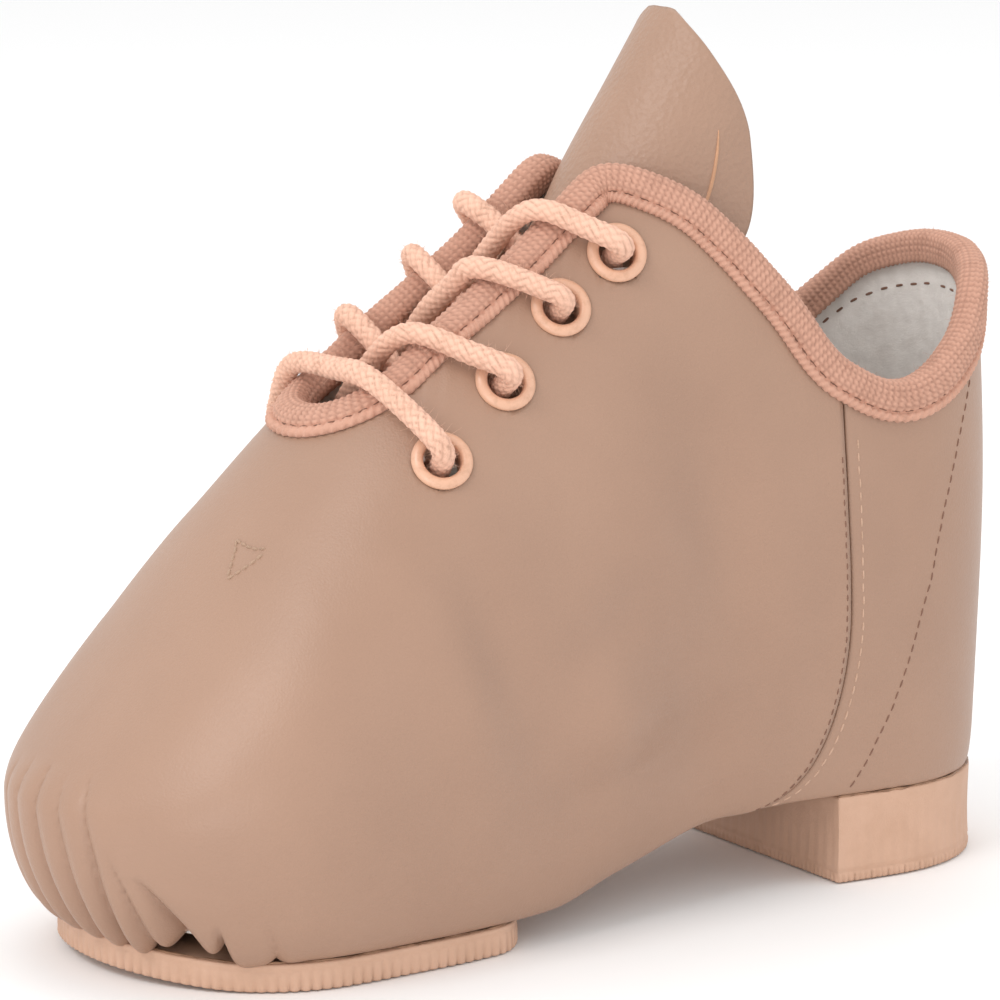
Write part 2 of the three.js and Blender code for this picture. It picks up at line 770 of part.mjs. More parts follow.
// ---------------------------------------------------------------- lace
// From the tag inside the inner quarter, down the throat, across its foot and up to the other tag.
const laceRoute = [
  [20, -8.5, 21.7], [26, -10, 21.8], [32, -12, 24], [37, -14, 32.5], [39, -15, 39.5],
  [42, -16, 50], [44.5, -16.5, 59.5],
  [47, -15.5, 76.5], [48, -14, 87], [47.5, -12.5, 94.5], [49, -12, 99.5], [51, -20, 102.5],
  [54, -17.5, 105.5], [58.5, -13.5, 109.5], [59.5, -9.5, 109.5], [58.5, -1.5, 106],
  [59, 8, 100.5], [59, 13.5, 94.5], [60.5, 18.5, 96.5], [62, 22, 98.5], [63.5, 20, 99.5],
  [70, 13, 102.5], [72, 9.5, 102.5], [72, 6.5, 100], [72.5, 0, 95.5], [72, -10.5, 86],
  [71.5, -14, 81], [72, -19.5, 83], [72.5, -23, 85], [74.5, -21, 86.5], [81.5, -10.5, 93.5],
  [80.5, 1.5, 87], [82.5, 15, 77], [83.5, 19.5, 73], [85, 23.5, 75.5], [86.5, 26.5, 78],
  [89, 19.5, 83.5], [91, 11, 87.5], [91, 3, 87.5], [91, -11, 86.5], [88, -21, 79],
  [86, -25, 75], [84, -17.5, 70.5], [84, -8, 79.5], [84.5, -2, 84.5], [83.5, 11, 93.5],
  [77.5, 19.5, 91], [73, 24.5, 88.5], [72, 20.5, 86], [71, 16, 84], [70, 9, 90.5],
  [68.5, 0.5, 96], [69.5, -10, 102], [68, -13.5, 101.5], [64.5, -17.5, 97.5],
  [61.5, -20.5, 94.5], [60, -12, 91.5], [61, -10.5, 94], [62, -6, 98], [62, -2.5, 101.5],
  [61, 11.5, 111], [55.5, 18, 108.5], [51.5, 22, 106], [49, 15, 103], [48.5, 14, 101],
  [48.5, 15, 97], [48, 16, 89], [47, 17.5, 77.5], [45, 18.5, 63.5], [42.5, 18, 51.5],
  [40, 17, 41], [37.5, 15.5, 34.5], [32, 13, 24], [26, 11, 21.8], [20, 9.5, 21.7],
].map(([x, y, z]) => new THREE.Vector3(x, y, z));
const laceSides = 8;
const laceSteps = 112;

function laceSolid(route, steps) {
  const section = new THREE.Shape();
  for (let k = 0; k < laceSides; k++) {
    const a = (k / laceSides) * 2 * Math.PI;
    const [u, v] = [(laceDiameter / 2) * Math.cos(a), (laceDiameter / 2) * Math.sin(a)];
    if (k === 0) section.moveTo(u, v);
    else section.lineTo(u, v);
  }
  section.closePath();
  const path = new THREE.CatmullRomCurve3(route, false, "centripetal");
  return merged(new THREE.ExtrudeGeometry(section, { steps, extrudePath: path }));
}
place("lace", laceSolid(laceRoute, laceSteps), laceCotton);

// A tag on each end of the lace, in line with its last stretch.
function laceTag(name, end, before) {
  const along = end.clone().sub(before).normalize();
  const barrel = new THREE.CylinderGeometry(tagDiameter / 2, tagDiameter / 2, tagLength, 12);
  const mesh = place(name, merged(barrel), tagPlastic);
  mesh.position.copy(end).addScaledVector(along, gap + tagLength / 2);
  mesh.quaternion.setFromUnitVectors(new THREE.Vector3(0, 1, 0), along);
}
laceTag("lace_tag_inner", laceRoute[0], laceRoute[1]);
laceTag("lace_tag_outer", laceRoute.at(-1), laceRoute.at(-2));

export default shoe;
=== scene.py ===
import math

import bpy
import numpy as np
from mathutils import Matrix, Vector


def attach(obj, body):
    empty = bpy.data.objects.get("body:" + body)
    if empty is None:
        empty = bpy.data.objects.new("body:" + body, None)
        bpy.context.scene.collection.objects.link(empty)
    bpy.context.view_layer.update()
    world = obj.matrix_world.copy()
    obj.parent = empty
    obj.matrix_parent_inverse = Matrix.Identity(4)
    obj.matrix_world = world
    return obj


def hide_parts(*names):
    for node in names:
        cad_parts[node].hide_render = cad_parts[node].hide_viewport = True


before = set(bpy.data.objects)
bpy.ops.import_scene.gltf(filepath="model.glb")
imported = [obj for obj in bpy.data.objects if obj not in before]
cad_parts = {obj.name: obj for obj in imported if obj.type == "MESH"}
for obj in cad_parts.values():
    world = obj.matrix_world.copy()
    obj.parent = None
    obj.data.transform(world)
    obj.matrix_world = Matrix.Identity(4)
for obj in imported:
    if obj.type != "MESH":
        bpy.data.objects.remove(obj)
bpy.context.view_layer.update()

# ---------------------------------------------------------------- the studio
# A camera a little above the shoe, looking at its outer side from in front, a plain pale floor,
# and soft light from large panels.
MM = 0.001
aim = Vector((0.060, 0.0, 0.0636))
azimuth, elevation = math.radians(148), math.radians(10.5)
toward = Vector((
    math.sin(azimuth) * math.cos(elevation),
    -math.cos(azimuth) * math.cos(elevation),
    math.sin(elevation),
))
camera = bpy.data.objects.new("camera", bpy.data.cameras.new("camera"))
bpy.context.scene.collection.objects.link(camera)
camera.location = aim + toward * 0.7
camera.rotation_euler = toward.to_track_quat("Z", "Y").to_euler()
camera.data.lens = 159.5
camera.data.sensor_width = 36
camera.data.clip_start = 0.01
bpy.context.scene.camera = camera
bpy.context.scene.view_settings.view_transform = "Standard"

bpy.ops.object.select_all(action="DESELECT")
bpy.ops.mesh.primitive_plane_add(size=8, location=(0, 0, -0.0002))
floor = bpy.context.object
floor.name = "floor"
floor_paint = bpy.data.materials.new("floor_paint")
floor_paint.use_nodes = True
floor_paint.node_tree.nodes["Principled BSDF"].inputs["Base Color"].default_value = (0.93, 0.93, 0.93, 1)
floor_paint.node_tree.nodes["Principled BSDF"].inputs["Roughness"].default_value = 0.9
floor.data.materials.append(floor_paint)

world = bpy.data.worlds.new("studio_air")
bpy.context.scene.world = world
world.use_nodes = True
world.node_tree.nodes["Background"].inputs["Color"].default_value = (1, 1, 1, 1)
world.node_tree.nodes["Background"].inputs["Strength"].default_value = 1.0


def softbox(name, place, size, power):
    lamp = bpy.data.lights.new(name, "AREA")
    lamp.size = size
    lamp.energy = power
    panel = bpy.data.objects.new(name, lamp)
    bpy.context.scene.collection.objects.link(panel)
    panel.location = place
    panel.rotation_euler = (Vector(place) - Vector((0.06, 0, 0.06))).to_track_quat("Z", "Y").to_euler()


softbox("key_light", (1.0, 0.25, 1.15), 0.6, 6)
softbox("fill_light", (-0.5, 1.3, 0.7), 1.2, 1.5)
softbox("top_light", (-0.2, -0.5, 1.4), 0.9, 3)
softbox("low_light", (0.85, 0.75, 0.14), 0.5, 2.4)

# ---------------------------------------------------------------- lace
# A round lace of braided cotton, threaded crosswise through four eyelets a side with a straight bar
# at the bottom. Its ends are tucked inside the shoe. Cut from a braided hank, with wrapped tags.
lace_route = [
    (20, -8.5, 21.7), (26, -10, 21.8), (32, -12, 24), (37, -14, 32.5), (39, -15, 39.5),
    (42, -16, 50), (44.5, -16.5, 59.5),
    (47, -15.5, 76.5), (48, -14, 87), (47.5, -12.5, 94.5), (49, -12, 99.5), (51, -20, 102.5),
    (54, -17.5, 105.5), (58.5, -13.5, 109.5), (59.5, -9.5, 109.5), (58.5, -1.5, 106),
    (59, 8, 100.5), (59, 13.5, 94.5), (60.5, 18.5, 96.5), (62, 22, 98.5), (63.5, 20, 99.5),
    (70, 13, 102.5), (72, 9.5, 102.5), (72, 6.5, 100), (72.5, 0, 95.5), (72, -10.5, 86),
    (71.5, -14, 81), (72, -19.5, 83), (72.5, -23, 85), (74.5, -21, 86.5), (81.5, -10.5, 93.5),
    (80.5, 1.5, 87), (82.5, 15, 77), (83.5, 19.5, 73), (85, 23.5, 75.5), (86.5, 26.5, 78),
    (89, 19.5, 83.5), (91, 11, 87.5), (91, 3, 87.5), (91, -11, 86.5), (88, -21, 79),
    (86, -25, 75), (84, -17.5, 70.5), (84, -8, 79.5), (84.5, -2, 84.5), (83.5, 11, 93.5),
    (77.5, 19.5, 91), (73, 24.5, 88.5), (72, 20.5, 86), (71, 16, 84), (70, 9, 90.5),
    (68.5, 0.5, 96), (69.5, -10, 102), (68, -13.5, 101.5), (64.5, -17.5, 97.5),
    (61.5, -20.5, 94.5), (60, -12, 91.5), (61, -10.5, 94), (62, -6, 98), (62, -2.5, 101.5),
    (61, 11.5, 111), (55.5, 18, 108.5), (51.5, 22, 106), (49, 15, 103), (48.5, 14, 101),
    (48.5, 15, 97), (48, 16, 89), (47, 17.5, 77.5), (45, 18.5, 63.5), (42.5, 18, 51.5),
    (40, 17, 41), (37.5, 15.5, 34.5), (32, 13, 24), (26, 11, 21.8), (20, 9.5, 21.7),
]
LACE_THICKNESS = 3.6
rng = np.random.default_rng(7)


def object_of(name, points, faces, material=None, smooth=True):
    """A new mesh object from points in millimetres."""
    mesh = bpy.data.meshes.new(name)
    mesh.from_pydata((np.asarray(points, float) * MM).tolist(), [], [list(map(int, f)) for f in faces])
    mesh.polygons.foreach_set("use_smooth", [smooth] * len(mesh.polygons))
    mesh.update()
    piece = bpy.data.objects.new(name, mesh)
    bpy.context.scene.collection.objects.link(piece)
    if material:
        mesh.materials.append(material)
    return piece


def net(rings, sides, loop=False, tube=True):
    """Quads between rings of points. A tube closes round each ring, and a loop joins last to first."""
    i = np.arange(rings if loop else rings - 1)[:, None]
    j = np.arange(sides if tube else sides - 1)[None, :]
    i2, j2 = (i + 1) % rings, (j + 1) % sides
    quads = [i * sides + j, i * sides + j2, i2 * sides + j2, i2 * sides + j]
    return np.stack([np.broadcast_to(q, (i.shape[0], j.shape[1])) for q in quads], -1).reshape(-1, 4)


def through(points, spacing):
    """Evenly spaced points on the centripetal curve through a route."""
    p = np.asarray(points, float)
    p = np.vstack([2 * p[0] - p[1], p, 2 * p[-1] - p[-2]])
    made = []
    for k in range(1, len(p) - 2):
        p0, p1, p2, p3 = p[k - 1 : k + 3]
        t0 = 0.0
        t1 = t0 + np.linalg.norm(p1 - p0) ** 0.5
        t2 = t1 + np.linalg.norm(p2 - p1) ** 0.5
        t3 = t2 + np.linalg.norm(p3 - p2) ** 0.5
        t = np.linspace(t1, t2, 24, endpoint=False)[:, None]
        a1 = (t1 - t) / (t1 - t0) * p0 + (t - t0) / (t1 - t0) * p1
        a2 = (t2 - t) / (t2 - t1) * p1 + (t - t1) / (t2 - t1) * p2
        a3 = (t3 - t) / (t3 - t2) * p2 + (t - t2) / (t3 - t2) * p3
        b1 = (t2 - t) / (t2 - t0) * a1 + (t - t0) / (t2 - t0) * a2
        b2 = (t3 - t) / (t3 - t1) * a2 + (t - t1) / (t3 - t1) * a3
        made.append((t2 - t) / (t2 - t1) * b1 + (t - t1) / (t2 - t1) * b2)
    line = np.vstack([*made, p[-2]])
    far = np.r_[0, np.cumsum(np.linalg.norm(np.diff(line, axis=0), axis=1))]
    even = np.linspace(0, far[-1], int(round(far[-1] / spacing)) + 1)
    return np.stack([np.interp(even, far, line[:, k]) for k in range(3)], 1), even


def carried(line):
    """Two directions across a line, carried along it without twist."""
    run = np.gradient(line, axis=0)
    run /= np.linalg.norm(run, axis=1)[:, None]
    side = np.zeros_like(line)
    side[0] = np.cross(run[0], [0.3, 0.5, 0.8])
    for k in range(len(line)):
        v = side[k - 1] if k else side[0]
        v = v - run[k] * (v @ run[k])
        side[k] = v / np.linalg.norm(v)
    return run, side, np.cross(run, side)


def rounded(line, passes):
    """A line with its small corners eased."""
    for _ in range(passes):
        line[1:-1] = line[1:-1] * 0.5 + (line[:-2] + line[2:]) * 0.25
    return line


braid_strands = 7
braid_pitch = 0.85
lace_line, lace_run = through(lace_route, 0.3)
lace_line = rounded(lace_line, 30)
_, lace_side, lace_up = carried(lace_line)
lace_turn = np.linspace(0, 2 * np.pi, 42, endpoint=False)
a = braid_strands * lace_turn[None, :] / (2 * np.pi) + lace_run[:, None] / (2 * braid_pitch)
b = braid_strands * lace_turn[None, :] / (2 * np.pi) - lace_run[:, None] / (2 * braid_pitch)
upper = (np.floor(a) + np.floor(b)) % 2 == 0
across_strand = np.where(upper, b % 1, a % 1)
along_strand = np.where(upper, a % 1, b % 1)
hump = np.sin(np.pi * across_strand) ** 0.6 * (0.72 + 0.28 * np.sin(np.pi * along_strand))
flat = 1 + 0.035 * np.sin(lace_run / 9.0) + 0.02 * np.sin(lace_run / 3.7 + 1)
lace_radius = (LACE_THICKNESS / 2 - 0.34 + 0.36 * hump) * flat[:, None]
lace_points = (
    lace_line[:, None, :]
    + lace_side[:, None, :] * (lace_radius * np.cos(lace_turn))[:, :, None]
    + lace_up[:, None, :] * (lace_radius * np.sin(lace_turn))[:, :, None]
)


def shader(name, colour, roughness, specular=0.5, sheen=0.0, sheen_colour=(1, 1, 1, 1)):
    """A new material with its constants on the shader, and handles for its nodes."""
    made = bpy.data.materials.new(name)
    made.use_nodes = True
    nodes, links = made.node_tree.nodes, made.node_tree.links
    bsdf = nodes["Principled BSDF"]
    bsdf.inputs["Base Color"].default_value = (*colour, 1)
    bsdf.inputs["Roughness"].default_value = roughness
    bsdf.inputs["Specular IOR Level"].default_value = specular
    bsdf.inputs["Sheen Weight"].default_value = sheen
    bsdf.inputs["Sheen Roughness"].default_value = 0.5
    bsdf.inputs["Sheen Tint"].default_value = sheen_colour
    return made, nodes, links, bsdf


def texture(nodes, links, kind, scale, source="Object", **settings):
    """A noise, voronoi or wave texture on the piece's own coordinates, in metres."""
    place = nodes.new("ShaderNodeTexCoord")
    made = nodes.new(kind)
    made.inputs["Scale"].default_value = scale
    for key, value in settings.items():
        made.inputs[key.replace("_", " ")].default_value = value
    links.new(place.outputs[source], made.inputs["Vector"])
    return made


def ramp(nodes, links, source, stops):
    made = nodes.new("ShaderNodeValToRGB")
    made.color_ramp.elements[0].position = stops[0][0]
    made.color_ramp.elements[0].color = (*stops[0][1], 1)
    made.color_ramp.elements[1].position = stops[-1][0]
    made.color_ramp.elements[1].color = (*stops[-1][1], 1)
    for position, colour in stops[1:-1]:
        made.color_ramp.elements.new(position).color = (*colour, 1)
    links.new(source, made.inputs["Fac"])
    return made.outputs["Color"]


def coloured(nodes, links, bsdf, noise, stops):
    """Colours a material by a noise's height."""
    links.new(ramp(nodes, links, noise.outputs["Fac"], stops), bsdf.inputs["Base Color"])


def bumped(nodes, links, bsdf, heights):
    """Bumps laid over each other: (height, distance in metres, strength) each."""
    before = None
    for height, distance, strength in heights:
        bump = nodes.new("ShaderNodeBump")
        bump.inputs["Distance"].default_value = distance
        bump.inputs["Strength"].default_value = strength
        links.new(height, bump.inputs["Height"])
        if before:
            links.new(before.outputs["Normal"], bump.inputs["Normal"])
        before = bump
    links.new(before.outputs["Normal"], bsdf.inputs["Normal"])


def cotton(name, dark, light, fibre_scale, sheen=0.2, shade_grooves=False):
    """Spun cotton: fibres as fine noise, with slow and fine changes of its dye. If asked, painted shade
    darkens the grooves of the yarn, read from its crown mark.
    """
    made, nodes, links, bsdf = shader(name, light, 0.95, 0.15, sheen, (1, 0.85, 0.75, 1))
    slow = texture(nodes, links, "ShaderNodeTexNoise", 260, Detail=3)
    fine = texture(nodes, links, "ShaderNodeTexNoise", fibre_scale, Detail=6, Roughness=0.75)
    mix = nodes.new("ShaderNodeMath")
    mix.operation = "MULTIPLY_ADD"
    mix.inputs[1].default_value = 0.55
    links.new(fine.outputs["Fac"], mix.inputs[0])
    half = nodes.new("ShaderNodeMath")
    half.operation = "MULTIPLY"
    half.inputs[1].default_value = 0.45
    links.new(slow.outputs["Fac"], half.inputs[0])
    links.new(half.outputs[0], mix.inputs[2])
    dye = ramp(nodes, links, mix.outputs[0], [(0.25, dark), (0.5, light)])
    # Painted shade: where the crown mark is low, in the grooves between strands, the dye is mixed towards a
    # dimmed copy of the dark colour.
    height = nodes.new("ShaderNodeAttribute")
    height.attribute_name = "crown"
    shade = nodes.new("ShaderNodeMapRange")
    shade.inputs["From Max"].default_value = 0.8
    shade.inputs["To Min"].default_value = 0.5 if shade_grooves else 1.0
    shade.inputs["To Max"].default_value = 1.0
    links.new(height.outputs["Fac"], shade.inputs["Value"])
    groove = nodes.new("ShaderNodeMix")
    groove.data_type = "RGBA"
    groove.inputs["A"].default_value = (dark[0] * 0.55, dark[1] * 0.5, dark[2] * 0.5, 1)
    links.new(shade.outputs["Result"], groove.inputs["Factor"])
    links.new(dye, groove.inputs["B"])
    links.new(groove.outputs["Result"], bsdf.inputs["Base Color"])
    bumped(nodes, links, bsdf, [(fine.outputs["Fac"], 0.0001, 0.5)])
    return made


# The lace's material paints shade into the grooves of its braid.
lace_cotton = cotton("lace_cotton", (0.60, 0.35, 0.245), (0.82, 0.505, 0.375), 3200, shade_grooves=True)


def crown(piece, values):
    """Marks each point of a yarn from 0 in its grooves to 1 on its crowns; the material paints shade into the
    low marks.
    """
    mark = piece.data.attributes.new("crown", "FLOAT", "POINT")
    mark.data.foreach_set("value", np.ascontiguousarray(values, dtype=np.float32).ravel())


def closed_tube(name, line_points, sides, material):
    """A tube with its two ends closed by a face each."""
    rings = line_points.shape[0]
    faces = [list(f) for f in net(rings, sides)]
    faces.append(list(range(sides))[::-1])
    faces.append(list(range((rings - 1) * sides, rings * sides)))
    return object_of(name, line_points.reshape(-1, 3), faces, material)


lace = closed_tube("lace_braid", lace_points, 42, lace_cotton)
crown(lace, hump)
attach(lace, "shoe")
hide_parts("lace")
tag_plastic, tag_nodes, tag_links, tag_bsdf = shader("tag_film", (0.45, 0.27, 0.18), 0.35)
tag_noise = texture(tag_nodes, tag_links, "ShaderNodeTexNoise", 900, Detail=3)
coloured(
    tag_nodes, tag_links, tag_bsdf, tag_noise,
    [(0.3, (0.40, 0.23, 0.15)), (0.7, (0.52, 0.32, 0.22))],
)
bumped(tag_nodes, tag_links, tag_bsdf, [(tag_noise.outputs["Fac"], 0.0002, 0.4)])


def coat(node, material):
    """Gives a CAD piece a finish in place of its plain one."""
    node.data.materials.clear()
    node.data.materials.append(material)


for tag in ("lace_tag_inner", "lace_tag_outer"):
    coat(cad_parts[tag], tag_plastic)


def fibres(name, roots, outs, length, thickness, material, body="shoe"):
    """Short loose hairs that stand off a yarn: each a bent sliver of three sides."""
    count = len(roots)
    drift = rng.normal(size=(count, 3)) * 0.6
    reach = length * rng.uniform(0.4, 1.3, (count, 1))
    outs = outs / np.linalg.norm(outs, axis=1)[:, None]
    middle = roots + (outs + drift * 0.5) * reach * 0.5
    tip = roots + (outs * 0.7 + drift * 1.2) * reach
    spine = np.stack([roots, middle, tip], 1)
    side = np.cross(outs, drift + 0.01)
    side /= np.linalg.norm(side, axis=1)[:, None]
    other = np.cross(outs, side)
    widths = np.array([1, 0.8, 0.25]) * thickness / 2
    ring = []
    for angle in (0, 2 * np.pi / 3, 4 * np.pi / 3):
        ring.append(side * math.cos(angle) + other * math.sin(angle))
    ring = np.stack(ring, 1)
    points = spine[:, :, None, :] + ring[:, None, :, :] * widths[None, :, None, None]
    faces = []
    pattern = net(3, 3).tolist() + [[2, 1, 0], [6, 7, 8]]
    for k in range(count):
        faces += [[v + 9 * k for v in f] for f in pattern]
    piece = object_of(name, points.reshape(-1, 3), faces, material)
    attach(piece, body)
    return piece


pick = rng.integers(400, len(lace_line) - 400, 5200)
spin = rng.uniform(0, 2 * np.pi, len(pick))
fuzz_out = lace_side[pick] * np.cos(spin)[:, None] + lace_up[pick] * np.sin(spin)[:, None]
fuzz_root = lace_line[pick] + fuzz_out * (LACE_THICKNESS / 2 - 0.1)
lace_yarn = cotton("lace_yarn", (0.60, 0.35, 0.245), (0.82, 0.505, 0.375), 3200)
lace_fuzz = fibres("lace_fuzz", fuzz_root, fuzz_out, 0.85, 0.05, lace_yarn)

# ---------------------------------------------------------------- vamp
# The front of the upper: one soft piece of tan grain leather from side seam to side seam. It is pulled
# down over the last and gathered in pleats round the toe, where it is glued under to the insole.
SPINE = 107.0
HEEL_END, TOE_START = 0.22, 0.7
QUARTER = math.pi / 2
LEATHER, GAP = 1.0, 0.3
HEEL_HEIGHT, SOLE = 14.2, 4.3
heel_seat, fore_seat = HEEL_HEIGHT + GAP, SOLE + GAP
outer_reach = [
    (0, 28.5), (0.11, 28.5), (0.22, 28), (0.36, 28.5), (0.5, 33),
    (0.62, 38), (0.7, 39), (0.8, 39), (0.9, 37.7), (1, 37),
]
inner_reach = [
    (0, 28.5), (0.11, 27.5), (0.22, 26), (0.36, 24), (0.5, 27),
    (0.62, 32), (0.7, 33.5), (0.8, 34.5), (0.9, 35.7), (1, 37),
]
feather_share = [(0, 0.94), (0.22, 0.93), (0.36, 0.86), (0.55, 0.84), (0.7, 0.84), (0.85, 0.78), (1, 0.75)]
bottom_line = [
    (-0.28, heel_seat), (0.15, heel_seat), (0.32, heel_seat - 1), (0.52, fore_seat + 3.9),
    (0.645, fore_seat + 0.2), (0.7, fore_seat), (1.12, fore_seat), (1.36, fore_seat + 2.9),
]
wide_line = [
    (-0.28, heel_seat + 35.5), (0, heel_seat + 33.5), (0.37, heel_seat + 27.5),
    (0.75, fore_seat + 27.4), (1, fore_seat + 22.4), (1.36, fore_seat + 20.4),
]
ridge_line = [
    (-0.28, 235), (0, 190), (0.28, 147), (0.514, 117), (0.748, 95), (0.888, 81.5), (1, 69),
    (1.17, 51), (1.36, 35),
]
top_line = [
    (-0.28, 101), (-0.205, 96), (-0.11, 86), (0.01, 80), (0.11, 84),
    (0.234, 99.5), (0.336, 111), (0.42, 116), (0.486, 118),
]
crown_shape = [(0, 2), (0.3, 1.9), (0.5, 1.6), (0.62, 1.75), (0.7, 1.9), (1, 2.1)]


def smooth(table, value):
    """A smooth curve through a table's points that never overshoots them."""
    xs, ys = np.array(table, float).T
    rise = np.diff(ys) / np.diff(xs)
    slope = np.empty(len(xs))
    slope[0], slope[-1] = rise[0], rise[-1]
    before, after = rise[:-1], rise[1:]
    both = before * after > 0
    slope[1:-1] = np.where(both, 2 * before * after / np.where(both, before + after, 1), 0)
    v = np.clip(value, xs[0], xs[-1])
    i = np.clip(np.searchsorted(xs, v, side="right") - 1, 0, len(xs) - 2)
    h = xs[i + 1] - xs[i]
    s = (v - xs[i]) / h
    return (
        ys[i] * (1 + 2 * s) * (1 - s) ** 2
        + ys[i + 1] * s * s * (3 - 2 * s)
        + h * slope[i] * s * (1 - s) ** 2
        - h * slope[i + 1] * s * s * (1 - s)
    )


def station_at(x):
    return HEEL_END + x / SPINE * (TOE_START - HEEL_END)


def ease(v):
    v = np.clip(v, 0, 1)
    return v * v * (3 - 2 * v)


def reach_of(side, t):
    return np.where(side > 0, smooth(outer_reach, t), smooth(inner_reach, t))


def spine_at(t):
    x = np.clip((t - HEEL_END) / (TOE_START - HEEL_END), 0, 1) * SPINE
    heel = math.pi - t / HEEL_END * QUARTER
    toe = (1 - t) / (1 - TOE_START) * QUARTER
    return x, np.where(t < HEEL_END, heel, np.where(t > TOE_START, toe, QUARTER))


def skin(side, t, climb):
    """A point of the leather's outside: side 1 is outer, t runs heel to toe, climb sole to ridge."""
    side, t, climb = np.broadcast_arrays(*(np.asarray(value, float) for value in (side, t, climb)))
    side = np.where((t > 1) | (t < 0), -side, side)
    t = np.where(t > 1, 2 - t, np.abs(t))
    centre, turn = spine_at(t)
    half = reach_of(side, t)
    share = smooth(feather_share, t)
    s, c = np.sin(climb), np.cos(climb)
    r = np.where(c > 0, half * (share + (1 - share) * s), half * s)
    x = centre + r * np.cos(turn)
    low, wide, ridge = (smooth(line, x / SPINE) for line in (bottom_line, wide_line, ridge_line))
    crown = wide + (ridge - wide) * np.maximum(-c, 0) ** (2 / smooth(crown_shape, t))
    z = np.where(c > 0, low + (wide - low) * (1 - c), crown)
    return np.stack([x, side * r * np.sin(turn), z], -1)


def slopes(side, t, climb):
    e = 1e-3
    up = np.minimum(climb + e, math.pi)
    dt = (skin(side, t + e, climb) - skin(side, t - e, climb)) / (2 * e)
    dc = (skin(side, t, up) - skin(side, t, climb - e)) / np.asarray(up - climb + e)[..., None]
    return dt, dc


def normal(side, t, climb):
    side, t, climb = np.broadcast_arrays(*(np.asarray(value, float) for value in (side, t, climb)))
    dt, dc = slopes(side, t, climb)
    n = np.cross(dc, dt) * side[..., None]
    n /= np.maximum(np.linalg.norm(n, axis=-1), 1e-9)[..., None]
    x = skin(side, t, climb)[..., 0]
    slope = (smooth(ridge_line, (x + 0.1) / SPINE) - smooth(ridge_line, (x - 0.1) / SPINE)) / 0.2
    top = np.stack([-slope, 0 * slope, 1 + 0 * slope], -1)
    top /= np.linalg.norm(top, axis=-1)[..., None]
    return np.where((climb > math.pi - 0.02)[..., None], top, n)


THROAT_HALF = 10.5
throat_centre = SPINE - 22
throat_end = throat_centre + THROAT_HALF
seam_station = station_at(12)
seam_low = math.radians(87)
MM_TO_STATION = (TOE_START - HEEL_END) / SPINE
seam_shift = 18 * MM_TO_STATION
seam_gap = 0.25 * MM_TO_STATION


def bow(climb):
    return seam_shift * ((climb - seam_low) / seam_low) ** 2


def lean(t):
    return np.maximum(0, 1 - np.abs(t - seam_station) / 0.16)


def edge_climb(side, t, pull):
    """How high the leather climbs at a station: to the collar, the throat's edge or the ridge."""
    t_up = t + pull * bow(2.0)
    x, _ = spine_at(t_up)
    beyond = np.maximum(x - throat_centre, 0)
    opening = np.sqrt(np.maximum(THROAT_HALF**2 - beyond**2, 0))
    throat = math.pi - np.arcsin(np.minimum(opening / reach_of(side, t_up), 1))
    low, high = np.full_like(t, QUARTER), np.full_like(t, math.pi)
    for _ in range(30):
        mid = (low + high) / 2
        p = skin(side, t + pull * bow(mid), mid)
        over = p[..., 2] > smooth(top_line, p[..., 0] / SPINE)
        high, low = np.where(over, mid, high), np.where(over, low, mid)
    soft = -0.05 * np.log(np.exp(-throat / 0.05) + np.exp(-low / 0.05))
    return np.where(x > throat_end - 1e-6, math.pi, np.where(x > 60, throat, soft))


# Each pleat: its angle round the toe in degrees, depth, half width, height, and its sweep.
pleats = [
    (-66, 0.9, 1.0, 15, 3), (-54, 1.2, 1.1, 20, 4), (-43, 1.0, 1.0, 17, 4), (-32, 1.5, 1.1, 22, 5),
    (-21, 1.1, 1.0, 18, 4), (-11, 1.5, 1.1, 24, 5), (-1, 1.3, 1.0, 25, 6), (9, 1.6, 1.1, 27, 7),
    (19, 1.4, 1.0, 24, 7), (28, 1.8, 1.1, 26, 8), (36.5, 1.5, 0.9, 15, 7), (46.5, 4.4, 3.2, 12.0, 10),
    (56.5, 2.8, 1.1, 6.5, 1), (70, 0.7, 1.0, 7, 3),
]
# Soft folds: where each starts and ends on the outer side as X and Z, its depth and half width.
folds = [
    ((87, 64), (76, 36), -1.5, 5.5), ((71, 41), (50, 54), -1.1, 5.0), ((70, 31), (38, 38), 1.1, 4.5),
    ((70, 23), (42, 27), -0.8, 2.8), ((93, 58), (85, 26), 1.1, 6.0), ((62, 74), (44, 58), 0.7, 7.0),
    ((40, 84), (32, 36), -2.2, 7.5),
    ((64, 50), (57, 20), 1.7, 7.0), ((46, 46), (38, 20), -2.0, 7.0), ((10, 62), (5, 30), 0.9, 8.0),
    ((122, 47), (137, 33), 0.4, 2.4), ((128, 45), (140, 31), -0.3, 2.0),
]


